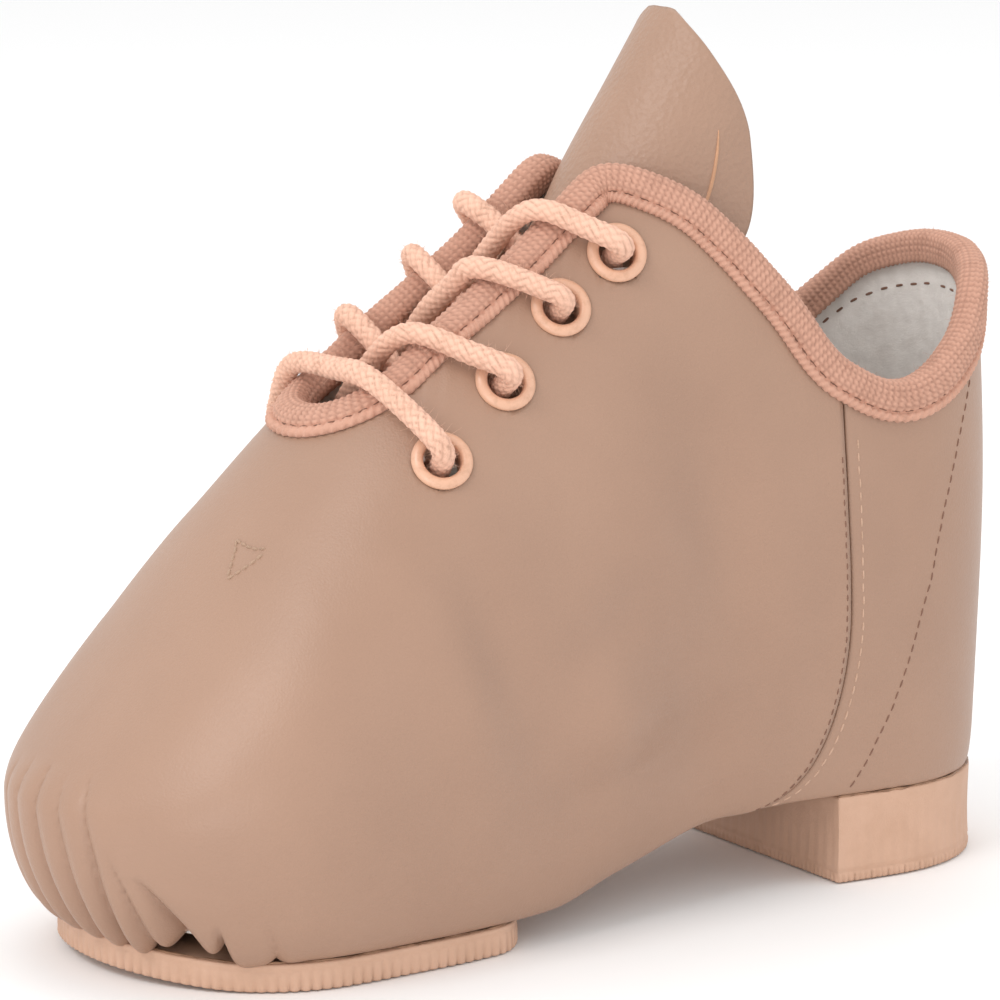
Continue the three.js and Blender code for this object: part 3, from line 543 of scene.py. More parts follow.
def relief(side, t, climb, p):
    """How far the leather stands in or out from its plain shape, in millimetres."""
    x, y, z = p[..., 0], p[..., 1], p[..., 2]
    out = np.zeros_like(x)
    angle = np.degrees(np.arctan2(y, x - SPINE))
    radius = np.hypot(y, x - SPINE)
    up = z - smooth(bottom_line, x / SPINE)
    at_toe = ease((x - 92) / 12)
    for where, depth, width, height, sweep in pleats:
        share = np.clip(up / height, 0, 1)
        centre = where - sweep * share**1.5
        off = (angle - centre) * math.pi / 180 * np.maximum(radius, 12)
        fade = (1 - share) ** 0.8 * at_toe * np.where(climb < 2.0, 1, 0)
        valley = np.exp(-((np.abs(off) / (width * (0.25 + 0.55 * (1 - share)))) ** 1.1))
        lobe = np.exp(-(((np.abs(off) - 2.4 * width) / (1.7 * width)) ** 2))
        out += fade * (0.34 * min(depth, 1.6) * lobe - 1.25 * depth * valley)
    for (xa, za), (xb, zb), depth, width in folds:
        length_squared = (xb - xa) ** 2 + (zb - za) ** 2
        along = np.clip(((x - xa) * (xb - xa) + (z - za) * (zb - za)) / length_squared, 0, 1)
        off = np.hypot(x - xa - along * (xb - xa), z - za - along * (zb - za))
        taper = np.sin(math.pi * np.clip(0.12 + 0.76 * along, 0, 1))
        out += depth * taper * np.exp(-((off / width) ** 2)) * np.where((y > 0) | (x > 115), 1, 0.6)
    for k in range(6):
        start = 0.6 + 0.16 * k
        ripple = 0.1 * np.sin(x * start * 0.11 + k * 2.1) * np.sin(z * 0.09 * start + y * 0.05 + k)
        out += ripple * ease(up / 12)
    for k, (ex, ez) in enumerate(((79, 92), (66, 101), (55, 108))):
        spread = (x - ex) * 0.9 + (z - ez) * 0.45
        pull = np.exp(-((spread / 3.2) ** 2) - (((x - ex) * 0.45 - (z - ez + 5) * 0.9) / 6.5) ** 2)
        out += 0.16 * pull * np.sin(spread * 3.1 + k)
    return out


eyelet_frames = {}
for name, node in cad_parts.items():
    if not name.startswith("eyelet"):
        continue
    corners = np.array([v.co for v in node.data.vertices], float) / MM
    corners = np.unique(np.round(corners, 4), axis=0)
    centre = corners.mean(0)
    spread, directions = np.linalg.eigh(np.cov((corners - centre).T))
    axis = directions[:, 0] * (1 if directions[1, 0] * (1 if "outer" in name else -1) > 0 else -1)
    eyelet_frames[name] = (centre + axis * (np.max((corners - centre) @ axis) - 1.15), axis)


def unholed(points, quads, radius):
    """Leaves out the faces that an eyelet passes through."""
    middle = points[quads].mean(1)
    keep = np.ones(len(quads), bool)
    for at, axis in eyelet_frames.values():
        off = middle - at
        deep = off @ axis
        away = np.linalg.norm(off - deep[:, None] * axis, axis=1)
        keep &= ~((away < radius) & (np.abs(deep) < 6))
    return quads[keep]


def faced_out(piece, merged=0, cuts=0):
    """Turns every face of a closed piece outwards, with points merged and edges cut first."""
    bpy.ops.object.select_all(action="DESELECT")
    bpy.context.view_layer.objects.active = piece
    piece.select_set(True)
    bpy.ops.object.mode_set(mode="EDIT")
    bpy.ops.mesh.select_all(action="SELECT")
    if merged:
        bpy.ops.mesh.remove_doubles(threshold=merged * MM)
    if cuts:
        bpy.ops.mesh.subdivide(number_cuts=cuts)
    bpy.ops.mesh.normals_make_consistent(inside=False)
    bpy.ops.object.mode_set(mode="OBJECT")
    return piece


def shell(name, columns, shares, depth_out, thickness, material, holes=None, body="shoe", move=None):
    """A layer of the upper: columns are (side, station, pull), closed into a sheet of real thickness."""
    side = np.array([c[0] for c in columns], float)[:, None]
    base = np.array([c[1] for c in columns], float)
    pull = np.array([c[2] for c in columns], float)
    top = edge_climb(side[:, 0], base, pull)[:, None]
    climb = top * np.asarray(shares)[None, :]
    t = base[:, None] + pull[:, None] * bow(climb)
    p, n = skin(side, t, climb), normal(side, t, climb)
    inset = depth_out(np.abs(t), climb) if callable(depth_out) else depth_out
    lift = -inset + (move(side, t, climb, p) if move else 0)
    points = (p + n * np.asarray(lift)[..., None]).reshape(-1, 3)
    quads = net(len(columns), len(shares), tube=False)[:, ::-1]
    if holes:
        quads = unholed(points, quads, holes)
    piece = object_of(name, points, quads, material)
    faced_out(piece, merged=0.02)
    middle = piece.data.polygons[len(piece.data.polygons) // 2]
    inward = Vector((0.055, 0, 0.05)) - middle.center
    if middle.normal.dot(inward) > 0:
        piece.data.flip_normals()
    wall = piece.modifiers.new("wall", "SOLIDIFY")
    wall.thickness = thickness * MM
    wall.offset = -1
    bpy.ops.object.modifier_apply(modifier="wall")
    piece.data.polygons.foreach_set("use_smooth", [True] * len(piece.data.polygons))
    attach(piece, body)
    return piece


def leather(name, dark, light, grain=2600, grain_depth=0.00006, pebble=0.0):
    """Soft matt grain leather: a fine pore pattern, slow changes of tone and slight unevenness of sheen."""
    made, nodes, links, bsdf = shader(name, light, 0.45, 0.45, 0.05, (1, 0.9, 0.82, 1))
    slow = texture(nodes, links, "ShaderNodeTexNoise", 28, Detail=3, Roughness=0.6)
    tone = ramp(nodes, links, slow.outputs["Fac"], [(0.3, dark), (0.7, light)])
    links.new(tone, bsdf.inputs["Base Color"])
    pores = texture(nodes, links, "ShaderNodeTexVoronoi", grain)
    crease = texture(nodes, links, "ShaderNodeTexNoise", grain * 0.45, Detail=4, Roughness=0.7)
    rough = nodes.new("ShaderNodeMapRange")
    rough.inputs["To Min"].default_value = 0.36
    rough.inputs["To Max"].default_value = 0.50
    links.new(crease.outputs["Fac"], rough.inputs["Value"])
    links.new(rough.outputs["Result"], bsdf.inputs["Roughness"])
    heights = [(pores.outputs["Distance"], grain_depth, 0.5), (crease.outputs["Fac"], grain_depth * 2, 0.35)]
    if pebble:
        pebbles = texture(nodes, links, "ShaderNodeTexVoronoi", pebble)
        heights.append((pebbles.outputs["Distance"], 0.00022, 0.6))
    bumped(nodes, links, bsdf, heights)
    return made


tan_leather = leather("tan_leather", (0.345, 0.206, 0.141), (0.378, 0.228, 0.157))
straight = np.linspace(seam_station + seam_gap, TOE_START, 100)
round_toe = np.linspace(TOE_START, 1, 118)[1:]
half_vamp = np.r_[straight, round_toe]
outer_half = [(1, t, lean(t)) for t in half_vamp]
inner_half = [(-1, t, lean(t)) for t in half_vamp[:-1]][::-1]
low_rows = np.linspace(0, 0.34, 34)
high_rows = np.linspace(0.34, 1, 66)[1:]
vamp_rows = np.r_[low_rows, high_rows]


def seam_edge(side, t, climb, p):
    """The vamp laps over the quarters, so its edge stands a little proud of the seam."""
    near = (t - seam_station - bow(climb)) / MM_TO_STATION
    rise = 0.28 * np.exp(-((np.maximum(near, 0) / 3.0) ** 2)) - 0.22 * np.exp(-((near / 0.35) ** 2))
    groove = -0.14 * np.exp(-(((near - 0.9) / 0.28) ** 2))
    return relief(side, t, climb, p) + rise + groove


vamp = shell(
    "vamp_leather", outer_half + inner_half, vamp_rows, 0, LEATHER, tan_leather, holes=3.9, move=seam_edge
)
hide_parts("vamp")

# ---------------------------------------------------------------- quarters
# The two halves of the back of the upper, in the same tan leather. The vamp laps over them at a seam
# that leans forward at its foot, and they meet at the back in a plain closed seam.
BACK_SEAM = 0.6
QUARTER_ROWS = np.linspace(0, 1, 80)


def heel_station(arc):
    return arc * HEEL_END / (28.5 * QUARTER)


outer_stations = np.linspace(heel_station(BACK_SEAM + GAP / 2), seam_station - seam_gap, 96)
inner_stations = np.linspace(heel_station(GAP / 2 - BACK_SEAM), seam_station - seam_gap, 96)


def quarter_relief(side, t, climb, p):
    """The quarters dip under the vamp's lap and roll in a little at the back seam."""
    near = (seam_station + bow(climb) - t) / MM_TO_STATION
    back = np.abs(np.hypot(p[..., 0] + 28.5, p[..., 1]))
    rolled = -0.3 * np.exp(-((back / 0.9) ** 2))
    groove = -0.12 * np.exp(-(((near - 2.4) / 0.35) ** 2))
    return relief(side, t, climb, p) * 0.8 - 0.3 * np.exp(-((near / 0.8) ** 2)) + rolled + groove


for quarter_name, quarter_side, stations in (
    ("quarter_outer", 1, outer_stations), ("quarter_inner", -1, inner_stations),
):
    quarter = shell(
        quarter_name + "_leather",
        [(quarter_side, t, lean(t)) for t in stations],
        QUARTER_ROWS, 0, LEATHER, tan_leather, move=quarter_relief,
    )
    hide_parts(quarter_name)

# A thin cotton stay tape is glued behind each side seam, between the leather and the lining.
STAY_HALF, STAY_DEPTH, STAY_THICK = 2.2, 1.03, 0.24
stay_cotton = cotton("stay_cotton", (0.30, 0.19, 0.13), (0.42, 0.27, 0.19), 2600)
stay_reach = STAY_HALF * MM_TO_STATION
for stay_side, stay_name in ((1, "outer"), (-1, "inner")):
    stay = shell(
        "seam_stay_" + stay_name,
        [(stay_side, t, lean(t)) for t in seam_station + np.linspace(-stay_reach, stay_reach, 9)],
        QUARTER_ROWS, STAY_DEPTH, STAY_THICK, stay_cotton, move=relief,
    )

# ---------------------------------------------------------------- linings
# Off-white brushed fleece, cut like the leather in front of it and glued to its back. It steps in
# round the heel to leave room for the stiffener.
LINING, STIFFENER = 0.7, 0.8
counter_station = 38 / (28.5 * QUARTER) * HEEL_END


def lining_depth(t, climb):
    behind = 1 - ease((t - counter_station - 0.01) / 0.05)
    beside = behind * (1 - ease((climb - math.radians(84)) / math.radians(14)))
    return LEATHER + GAP + (STIFFENER + GAP) * beside


def nap(side, t, climb, p):
    """The lining follows the leather's folds, with a soft lumpy pile of its own."""
    lumps = np.sin(p[..., 0] * 2.9 + np.sin(p[..., 2] * 1.7)) * np.sin(p[..., 2] * 3.1 + p[..., 1] * 2.3)
    return np.minimum(relief(side, t, climb, p), 0.3) + 0.05 * lumps


fleece, fleece_nodes, fleece_links, fleece_bsdf = shader(
    "fleece_lining", (0.74, 0.72, 0.69), 0.98, 0.08, 0.4, (1, 0.97, 0.94, 1)
)
pile = texture(fleece_nodes, fleece_links, "ShaderNodeTexNoise", 1500, Detail=8, Roughness=0.8)
tufts = texture(fleece_nodes, fleece_links, "ShaderNodeTexNoise", 420, Detail=3)
coloured(
    fleece_nodes, fleece_links, fleece_bsdf, tufts,
    [(0.3, (0.78, 0.735, 0.69)), (0.6, (0.87, 0.83, 0.785))],
)
bumped(
    fleece_nodes, fleece_links, fleece_bsdf,
    [(tufts.outputs["Fac"], 0.0004, 0.5), (pile.outputs["Fac"], 0.0003, 0.7)],
)
vamp_lining = shell(
    "vamp_fleece", outer_half[::2] + inner_half[::2], vamp_rows[::2], lining_depth, LINING, fleece,
    holes=3.7, move=nap,
)
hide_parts("vamp_lining")
lining_stations = np.linspace(0, seam_station - seam_gap, 90)
quarter_lining = shell(
    "quarter_fleece",
    [(1, t, lean(t)) for t in lining_stations[::-1]] + [(-1, t, lean(t)) for t in lining_stations[1:]],
    QUARTER_ROWS, lining_depth, LINING, fleece, move=nap,
)
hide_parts("quarter_lining")

# ---------------------------------------------------------------- binding
# A folded tape of tan knit, sewn round the whole collar and throat in one run. A narrow corded edge
# lies against the leather, with the machine's stitches in the groove behind it.
binding_profile = [  # distance down from the leather's edge, and height above its outside
    (5.15, 0.12), (5.2, 0.5), (5.0, 0.95), (4.5, 1.2), (4.0, 1.1), (3.75, 0.75), (3.55, 0.75),
    (3.3, 1.15), (2.6, 1.4), (1.4, 1.45), (0.3, 1.35), (-0.55, 1.05), (-1.1, 0.45), (-1.35, -0.5),
    (-1.4, -1.5), (-1.2, -2.5), (-0.6, -3.25), (0.4, -3.5), (1.6, -3.55), (3.0, -3.5), (3.8, -3.35),
    (4.05, -2.9), (3.9, -2.6), (2.0, -2.52), (-0.2, -2.5), (-0.3, -1.2), (-0.25, 0.3), (1.5, 0.33),
    (3.5, 0.25),
]
edge_stations = np.r_[
    np.linspace(0, 0.28, 130), np.linspace(0.28, station_at(throat_centre), 240)[1:],
]
round_foot = throat_centre + THROAT_HALF * np.sin(np.linspace(0, math.pi / 2, 46))[1:]
edge_half = np.r_[edge_stations, station_at(np.minimum(round_foot, throat_end - 1e-5))]
loop_side = np.r_[np.ones(len(edge_half)), -np.ones(len(edge_half) - 2)]
loop_base = np.r_[edge_half, edge_half[1:-1][::-1]]
loop_pull = lean(loop_base)
loop_climb = edge_climb(loop_side, loop_base, loop_pull)
loop_t = loop_base + loop_pull * bow(loop_climb)
loop_p = skin(loop_side, loop_t, loop_climb)
loop_far = np.r_[0, np.cumsum(np.linalg.norm(np.diff(np.vstack([loop_p, loop_p[:1]]), axis=0), axis=1))]
BINDING_STEP = 0.24
binding_count = int(round(loop_far[-1] / BINDING_STEP))
binding_s = np.arange(binding_count) * loop_far[-1] / binding_count

# The two sides share one run: the inner side's stations count on past the throat's foot.
run_base = np.r_[edge_half, 2 * edge_half[-1] - edge_half[1:-1][::-1]]
run_full = np.interp(binding_s, loop_far, np.r_[run_base, 2 * edge_half[-1]])
ring_side = np.where(run_full <= edge_half[-1], 1.0, -1.0)
ring_base = np.where(ring_side > 0, run_full, 2 * edge_half[-1] - run_full)
ring_climb = edge_climb(ring_side, ring_base, lean(ring_base))
ring_t = ring_base + lean(ring_base) * bow(ring_climb)
ring_p = skin(ring_side, ring_t, ring_climb)
ring_n = normal(ring_side, ring_t, ring_climb)


def eased(values, passes):
    for _ in range(passes):
        values = values * 0.5 + (np.roll(values, 1, 0) + np.roll(values, -1, 0)) * 0.25
    return values


ring_p = eased(ring_p, 12)
ring_run = np.roll(ring_p, -1, 0) - np.roll(ring_p, 1, 0)
ring_run /= np.linalg.norm(ring_run, axis=1)[:, None]
ring_n = eased(ring_n, 20)
ring_n -= ring_run * np.sum(ring_n * ring_run, axis=1)[:, None]
ring_n /= np.linalg.norm(ring_n, axis=1)[:, None]
ring_out = np.cross(ring_n, ring_run)
dt_edge, dc_edge = slopes(ring_side, ring_t, np.minimum(ring_climb, math.pi - 0.05))
flip = np.sign(np.median(np.sum(ring_out * dc_edge, axis=1)))
ring_out = ring_out * flip

profile = np.array(binding_profile)
profile = np.vstack([profile, profile[:1]])
profile_far = np.r_[0, np.cumsum(np.linalg.norm(np.diff(profile, axis=0), axis=1))]
shown = np.linspace(0, profile_far[20], 50, endpoint=False)
hidden = np.linspace(profile_far[20], profile_far[-1], 10, endpoint=False)
around = np.r_[shown, hidden]
down = np.interp(around, profile_far, profile[:, 0])
height = np.interp(around, profile_far, profile[:, 1])
flat_run = np.gradient(np.stack([down, height], 1), axis=0)
flat_run /= np.linalg.norm(flat_run, axis=1)[:, None]
face_down, face_up = flat_run[:, 1], -flat_run[:, 0]

# Each wale of the knit is a column of stitches, and each stitch a V of two slanting legs.
WALE, STITCH = 1.02, 1.12
groove_at = profile_far[6]
wale = (around - groove_at) / WALE
legs = np.abs((wale % 1) * 2 - 1)
slant = binding_s[:, None] / STITCH + 0.5 * legs[None, :]
leg_hump = np.sin(math.pi * (slant % 1)) ** 0.8
columns_hump = np.sin(math.pi * np.clip(legs, 0.02, 0.98)) ** 0.5
knit = 0.4 * (leg_hump * columns_hump[None, :] - 0.55)
bead_twist = 0.2 * np.sin(2 * math.pi * (binding_s[:, None] / 1.1 + around[None, :] * 0.35))
in_band = ease((around - groove_at) / 0.35)[None, :]
in_bead = ((around > 0.2) & (around < profile_far[5]))[None, :]
drawn_in = -0.22 * np.exp(-(((around - (profile_far[5] + profile_far[6]) / 2) / 0.35) ** 2))[None, :]
drawn_in = drawn_in * (0.6 + 0.4 * np.cos(2 * math.pi * binding_s / 2.6))[:, None]
knit_lift = knit * in_band * (around < profile_far[21])[None, :] + bead_twist * in_bead + drawn_in
wander = 0.12 * np.sin(binding_s / 4.3) + 0.1 * np.sin(binding_s / 2.1 + 1)
sign = 1.0 if face_up[12] < 0 else -1.0
down_all = down[None, :] + wander[:, None] * 0.6 + sign * -1 * knit_lift * face_down[None, :]
height_all = height[None, :] + sign * -1 * knit_lift * face_up[None, :]
a11 = np.sum(dt_edge * dt_edge, 1)
a12 = np.sum(dt_edge * dc_edge, 1)
a22 = np.sum(dc_edge * dc_edge, 1)
det = a11 * a22 - a12 * a12
u = np.sum(ring_out * dt_edge, 1)
v = np.sum(ring_out * dc_edge, 1)
t_step = (a22 * u - a12 * v) / det
c_step = (a11 * v - a12 * u) / det
on_top = down_all > 0
t_band = ring_t[:, None] - np.where(on_top, down_all, 0) * t_step[:, None]
c_band = np.minimum(ring_climb[:, None] - np.where(on_top, down_all, 0) * c_step[:, None], math.pi)
side_band = np.broadcast_to(ring_side[:, None], t_band.shape)
band_p = skin(side_band, t_band, c_band)
band_n = normal(side_band, t_band, c_band)
flat_p = ring_p[:, None, :] - ring_out[:, None, :] * down_all[..., None]
flat_p = flat_p + ring_n[:, None, :] * height_all[..., None]
band_relief = np.minimum(relief(side_band, t_band, c_band, band_p), 0.2)
follow = band_p + band_n * (height_all + band_relief)[..., None]
offset = eased(follow - flat_p, 10)
share = ease(np.maximum(down_all, 0) / 2.0)[..., None]
binding_points = flat_p + offset * share
# The binding's material paints shade into the grooves between its knit stitches; the yarn for its loose
# fibres has none.
knit_cotton = cotton("knitted_binding", (0.42, 0.225, 0.16), (0.60, 0.335, 0.245), 2600, 0.15, True)
knit_yarn = cotton("knit_yarn", (0.42, 0.225, 0.16), (0.60, 0.335, 0.245), 2600, 0.15)
binding = object_of(
    "binding_knit", binding_points.reshape(-1, 3), net(binding_count, len(around), loop=True), knit_cotton
)
faced_out(binding)
in_knit = in_band * (around < profile_far[21])[None, :]
crown(binding, in_knit * leg_hump * columns_hump[None, :] + (1 - in_knit) * 0.85)
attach(binding, "shoe")
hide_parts("topline_binding")
seen_rows = np.where((around > groove_at) & (around < profile_far[18]))[0]
fuzz_ring = rng.integers(0, binding_count, 2400)
fuzz_row = rng.choice(seen_rows, 2400)
binding_out = binding_points[fuzz_ring, fuzz_row] - (ring_p - ring_out * 1.6 - ring_n * 1.0)[fuzz_ring]
binding_fuzz = fibres(
    "binding_fuzz", binding_points[fuzz_ring, fuzz_row], binding_out, 0.6, 0.045, knit_yarn
)

# ---------------------------------------------------------------- eyelets
# Eight painted brass eyelets, four a side, pressed through the leather and the lining and rolled over
# at the back. Their paint is smooth and a little glossy.
eyelet_profile = [  # radius and height above the leather
    (2.9, -3.3), (2.88, 0.4), (2.95, 0.75), (3.12, 1.0), (3.4, 1.14), (3.7, 1.15), (4.05, 1.08),
    (4.4, 0.88), (4.65, 0.62), (4.75, 0.4), (4.72, 0.2), (4.5, 0.12), (3.3, 0.12), (3.25, -2.8),
    (4.05, -2.95), (4.1, -3.2), (3.7, -3.4), (3.2, -3.42),
]
painted_eyelet, eyelet_nodes, eyelet_links, eyelet_bsdf = shader("painted_eyelet", (0.60, 0.345, 0.225), 0.33)
eyelet_bsdf.inputs["Coat Weight"].default_value = 0.25
eyelet_bsdf.inputs["Coat Roughness"].default_value = 0.2
flecks = texture(eyelet_nodes, eyelet_links, "ShaderNodeTexNoise", 600, Detail=5, Roughness=0.7)
coloured(
    eyelet_nodes, eyelet_links, eyelet_bsdf, flecks,
    [(0.32, (0.60, 0.335, 0.215)), (0.5, (0.70, 0.405, 0.27))],
)
bumped(eyelet_nodes, eyelet_links, eyelet_bsdf, [(flecks.outputs["Fac"], 0.0001, 0.15)])
for name, (at, axis) in eyelet_frames.items():
    side = np.cross(axis, [0.2, 0.3, 0.9])
    side /= np.linalg.norm(side)
    up = np.cross(axis, side)
    turn = np.linspace(0, 2 * math.pi, 56, endpoint=False)
    spokes = np.cos(turn)[:, None] * side + np.sin(turn)[:, None] * up
    ring_points = [at + spokes * r + axis * h for r, h in eyelet_profile]
    ring = object_of(
        name + "_ring", np.concatenate(ring_points), net(len(eyelet_profile), 56, loop=True), painted_eyelet
    )
    faced_out(ring)
    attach(ring, "shoe")
    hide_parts(name)

# ---------------------------------------------------------------- boards, stiffener, sleeve and sock
# Two pressed fibre boards carry the soles, with a soft leather sleeve between them under the arch.
# A moulded stiffener stands between leather and lining at the heel, and a fleece sock covers the boards.
board_fibre, board_nodes, board_links, board_bsdf = shader("stiffener_board", (0.43, 0.32, 0.2), 0.9, 0.2)
chips = texture(board_nodes, board_links, "ShaderNodeTexNoise", 700, Detail=6, Roughness=0.75)
coloured(
    board_nodes, board_links, board_bsdf, chips,
    [(0.3, (0.30, 0.215, 0.13)), (0.7, (0.5, 0.385, 0.255))],
)
bumped(board_nodes, board_links, board_bsdf, [(chips.outputs["Fac"], 0.0003, 0.5)])
for node_name in ("heel_counter", "insole_board_heel"):
    coat(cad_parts[node_name], board_fibre)


def bottom_at(x):
    return smooth(bottom_line, x / SPINE)


sleeve_x = np.linspace(8, 72, 90)
sleeve_share = np.linspace(-1, 1, 60)
sleeve_side = np.where(sleeve_share < 0, -1.0, 1.0)[None, :]
sleeve_t = station_at(sleeve_x)[:, None]
half_sleeve = reach_of(sleeve_side, sleeve_t) * smooth(feather_share, sleeve_t) - 3 * GAP
sleeve_y = sleeve_share[None, :] * half_sleeve
crumple = 0.12 * np.sin(sleeve_x[:, None] * 0.9 + sleeve_y * 0.2) * np.sin(sleeve_y * 0.35)
sleeve_low = bottom_at(sleeve_x)[:, None] + 0.15 + np.maximum(crumple, -0.12)
sleeve_x_all = np.broadcast_to(sleeve_x[:, None], sleeve_y.shape)
under = np.stack([sleeve_x_all, sleeve_y, sleeve_low], -1).reshape(-1, 3)
over = under + np.array([0, 0, 0.9])
sleeve_net = net(90, 60, tube=False)
count = len(under)
rim = np.r_[
    np.arange(60), np.arange(1, 90) * 60 + 59, 89 * 60 + np.arange(58, -1, -1), np.arange(88, 0, -1) * 60
]
rim_next = np.roll(rim, -1)
walls = np.stack([rim, rim_next, rim_next + count, rim + count], 1)
sleeve = object_of(
    "arch_sleeve_leather", np.vstack([under, over]),
    np.vstack([sleeve_net, sleeve_net[:, ::-1] + count, walls]), tan_leather,
)
faced_out(sleeve)
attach(sleeve, "shoe")
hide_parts("arch_sleeve")
sock_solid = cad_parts["sock_liner"].data
sock_points = np.array([corner.co[:] for corner in sock_solid.vertices]) * 1000
sock_faces = np.array([face.vertices[:] for face in sock_solid.polygons])
sock = object_of("sock_fleece", sock_points, sock_faces, fleece)
faced_out(sock, merged=0.004, cuts=5)
for corner in sock.data.vertices:
    x, y = corner.co[0] * 1000, corner.co[1] * 1000
    corner.co[2] += 0.00012 * math.sin(x * 0.31 + 1) * math.sin(y * 0.42 + x * 0.11)
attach(sock, "shoe")
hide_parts("sock_liner")


# ---------------------------------------------------------------- sole patch and heel
# The forefoot patch and the heel block are moulded of the same peach rubber and glued on. Fine upright
# flutes run round their edges, and a thin uneven line of glue shows where they meet the leather.
def evenly(points, spacing):
    closed = np.vstack([points, points[:1]])
    far = np.r_[0, np.cumsum(np.linalg.norm(np.diff(closed, axis=0), axis=1))]
    count = int(round(far[-1] / spacing))
    even = np.arange(count) * far[-1] / count
    return np.stack([np.interp(even, far, closed[:, k]) for k in (0, 1)], 1), even


PATCH_REAR, PATCH_ROUND = 67.0, 13.0
rear_turns = np.radians(np.linspace(0, 90, 30))
patch_t = np.r_[
    station_at(PATCH_REAR + PATCH_ROUND * (1 - np.cos(rear_turns))),
    np.linspace(station_at(PATCH_REAR + PATCH_ROUND), TOE_START, 40)[1:],
    np.linspace(TOE_START, 1, 90)[1:],
]
patch_points = []
for side, stations in ((1, patch_t), (-1, patch_t[1:-1][::-1])):
    centre, turn = spine_at(stations)
    short = np.clip((PATCH_REAR + PATCH_ROUND - centre) / PATCH_ROUND, 0, 1)
    r = (reach_of(side, stations) * smooth(feather_share, stations) + 1.0) * np.sqrt(1 - short**2)
    patch_points.append(np.stack([centre + r * np.cos(turn), side * r * np.sin(turn)], 1))
patch_outline, patch_run = evenly(np.vstack(patch_points), 0.34)


def sole_block(name, outline, run, centre, profile, flute, material, lift=None, ribbed=0.0):
    """A moulded block: rings of the outline from the middle of the top down to the middle of the base."""
    rings = []
    nxt, prev = np.roll(outline, -1, 0), np.roll(outline, 1, 0)
    along = nxt - prev
    along /= np.linalg.norm(along, axis=1)[:, None]
    out = np.stack([along[:, 1], -along[:, 0]], 1)
    if np.mean(np.sum(out * (outline - centre), 1)) < 0:
        out = -out
    for share, inset, z, fluted in profile:
        inwards = (inset - fluted * flute(run, z))[:, None] * (share > 0.9)
        flat = centre + (outline - centre) * share - out * inwards
        high = np.full(len(flat), float(z))
        if share < 0.96 and z < 1 and ribbed:
            high += ribbed * np.sin(flat[:, 0] * 1.15) * np.clip((0.96 - share) * 8, 0, 1)
        if lift is not None:
            high += lift(flat[:, 0])
        rings.append(np.column_stack([flat, high]))
    made = object_of(name, np.concatenate(rings), net(len(profile), len(outline)), material)
    return faced_out(made, merged=0.004)


def patch_lift(x):
    return np.where(x > SPINE, bottom_at(x) - fore_seat, 0)


def patch_flute(run, z):
    wave = np.abs(np.sin(math.pi * run / 1.7)) ** 0.6
    wear = 0.75 + 0.25 * np.sin(run / 7.0) * np.sin(run / 3.1 + 1)
    return (0.62 * wave - 0.42) * wear * (0.5 + 0.5 * np.clip((2.8 - z) / 2.2, 0, 1))


peach_rubber, rubber_nodes, rubber_links, rubber_bsdf = shader("sole_rubber", (0.63, 0.385, 0.275), 0.62, 0.4)
mottle = texture(rubber_nodes, rubber_links, "ShaderNodeTexNoise", 90, Detail=5, Roughness=0.65)
scuff = texture(rubber_nodes, rubber_links, "ShaderNodeTexNoise", 1800, Detail=4, Roughness=0.7)
coloured(
    rubber_nodes, rubber_links, rubber_bsdf, mottle,
    [(0.28, (0.53, 0.325, 0.222)), (0.6, (0.59, 0.37, 0.262))],
)
bumped(rubber_nodes, rubber_links, rubber_bsdf, [(scuff.outputs["Fac"], 0.00015, 0.5)])
patch_profile = [
    (0.0, 0, 4.3, 0), (0.3, 0, 4.3, 0), (0.7, 0, 4.3, 0), (0.93, 0, 4.3, 0), (1, 0.3, 4.3, 0),
    (1, 0.06, 4.18, 0.1),
    (1, 0, 3.9, 0.2), (1, 0.0, 3.5, 0.4), (1, 0.14, 3.2, 0.2), (1, 0.05, 2.9, 0.8), (1, 0.0, 2.3, 1),
    (1, 0, 1.7, 1),
    (1, 0.04, 1.1, 1), (1, 0.06, 0.7, 1.3), (1, 0.1, 0.35, 1.5), (1, 0.22, 0.1, 1.5), (1, 0.5, 0.0, 0.8),
    (0.96, 0, 0.0, 0), (0.94, 0, 0.25, 0), (0.9, 0, 0.25, 0), (0.75, 0, 0.25, 0), (0.6, 0, 0.25, 0),
    (0.45, 0, 0.25, 0), (0.3, 0, 0.25, 0), (0.15, 0, 0.25, 0), (0.0, 0, 0.25, 0),
]
patch = sole_block(
    "sole_patch", patch_outline, patch_run, np.array([103.0, 0]), patch_profile, patch_flute, peach_rubber,
    lift=patch_lift, ribbed=0.18,
)
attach(patch, "shoe")
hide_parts("outsole_forefoot")

BREAST = 12.0
heel_t = np.r_[np.linspace(station_at(BREAST), HEEL_END, 20), np.linspace(HEEL_END, 0, 70)[1:]]
heel_points = []
for side, stations in ((1, heel_t), (-1, heel_t[:-1][::-1])):
    centre, turn = spine_at(stations)
    r = reach_of(side, stations) * smooth(feather_share, stations) + 0.6
    heel_points.append(np.stack([centre + r * np.cos(turn), side * r * np.sin(turn)], 1))
heel_outline, heel_run = evenly(np.vstack(heel_points), 0.3)


def heel_flute(run, z):
    teeth = np.abs(np.sin(math.pi * run / 1.1)) ** 0.7
    low = np.clip((1.5 - z) / 0.6, 0, 1)
    ribs = 0.05 * np.sin(2 * math.pi * run / 2.4) * np.clip((12 - z) / 6, 0, 1)
    return (0.5 * teeth - 0.34) * low + ribs * (1 - low)


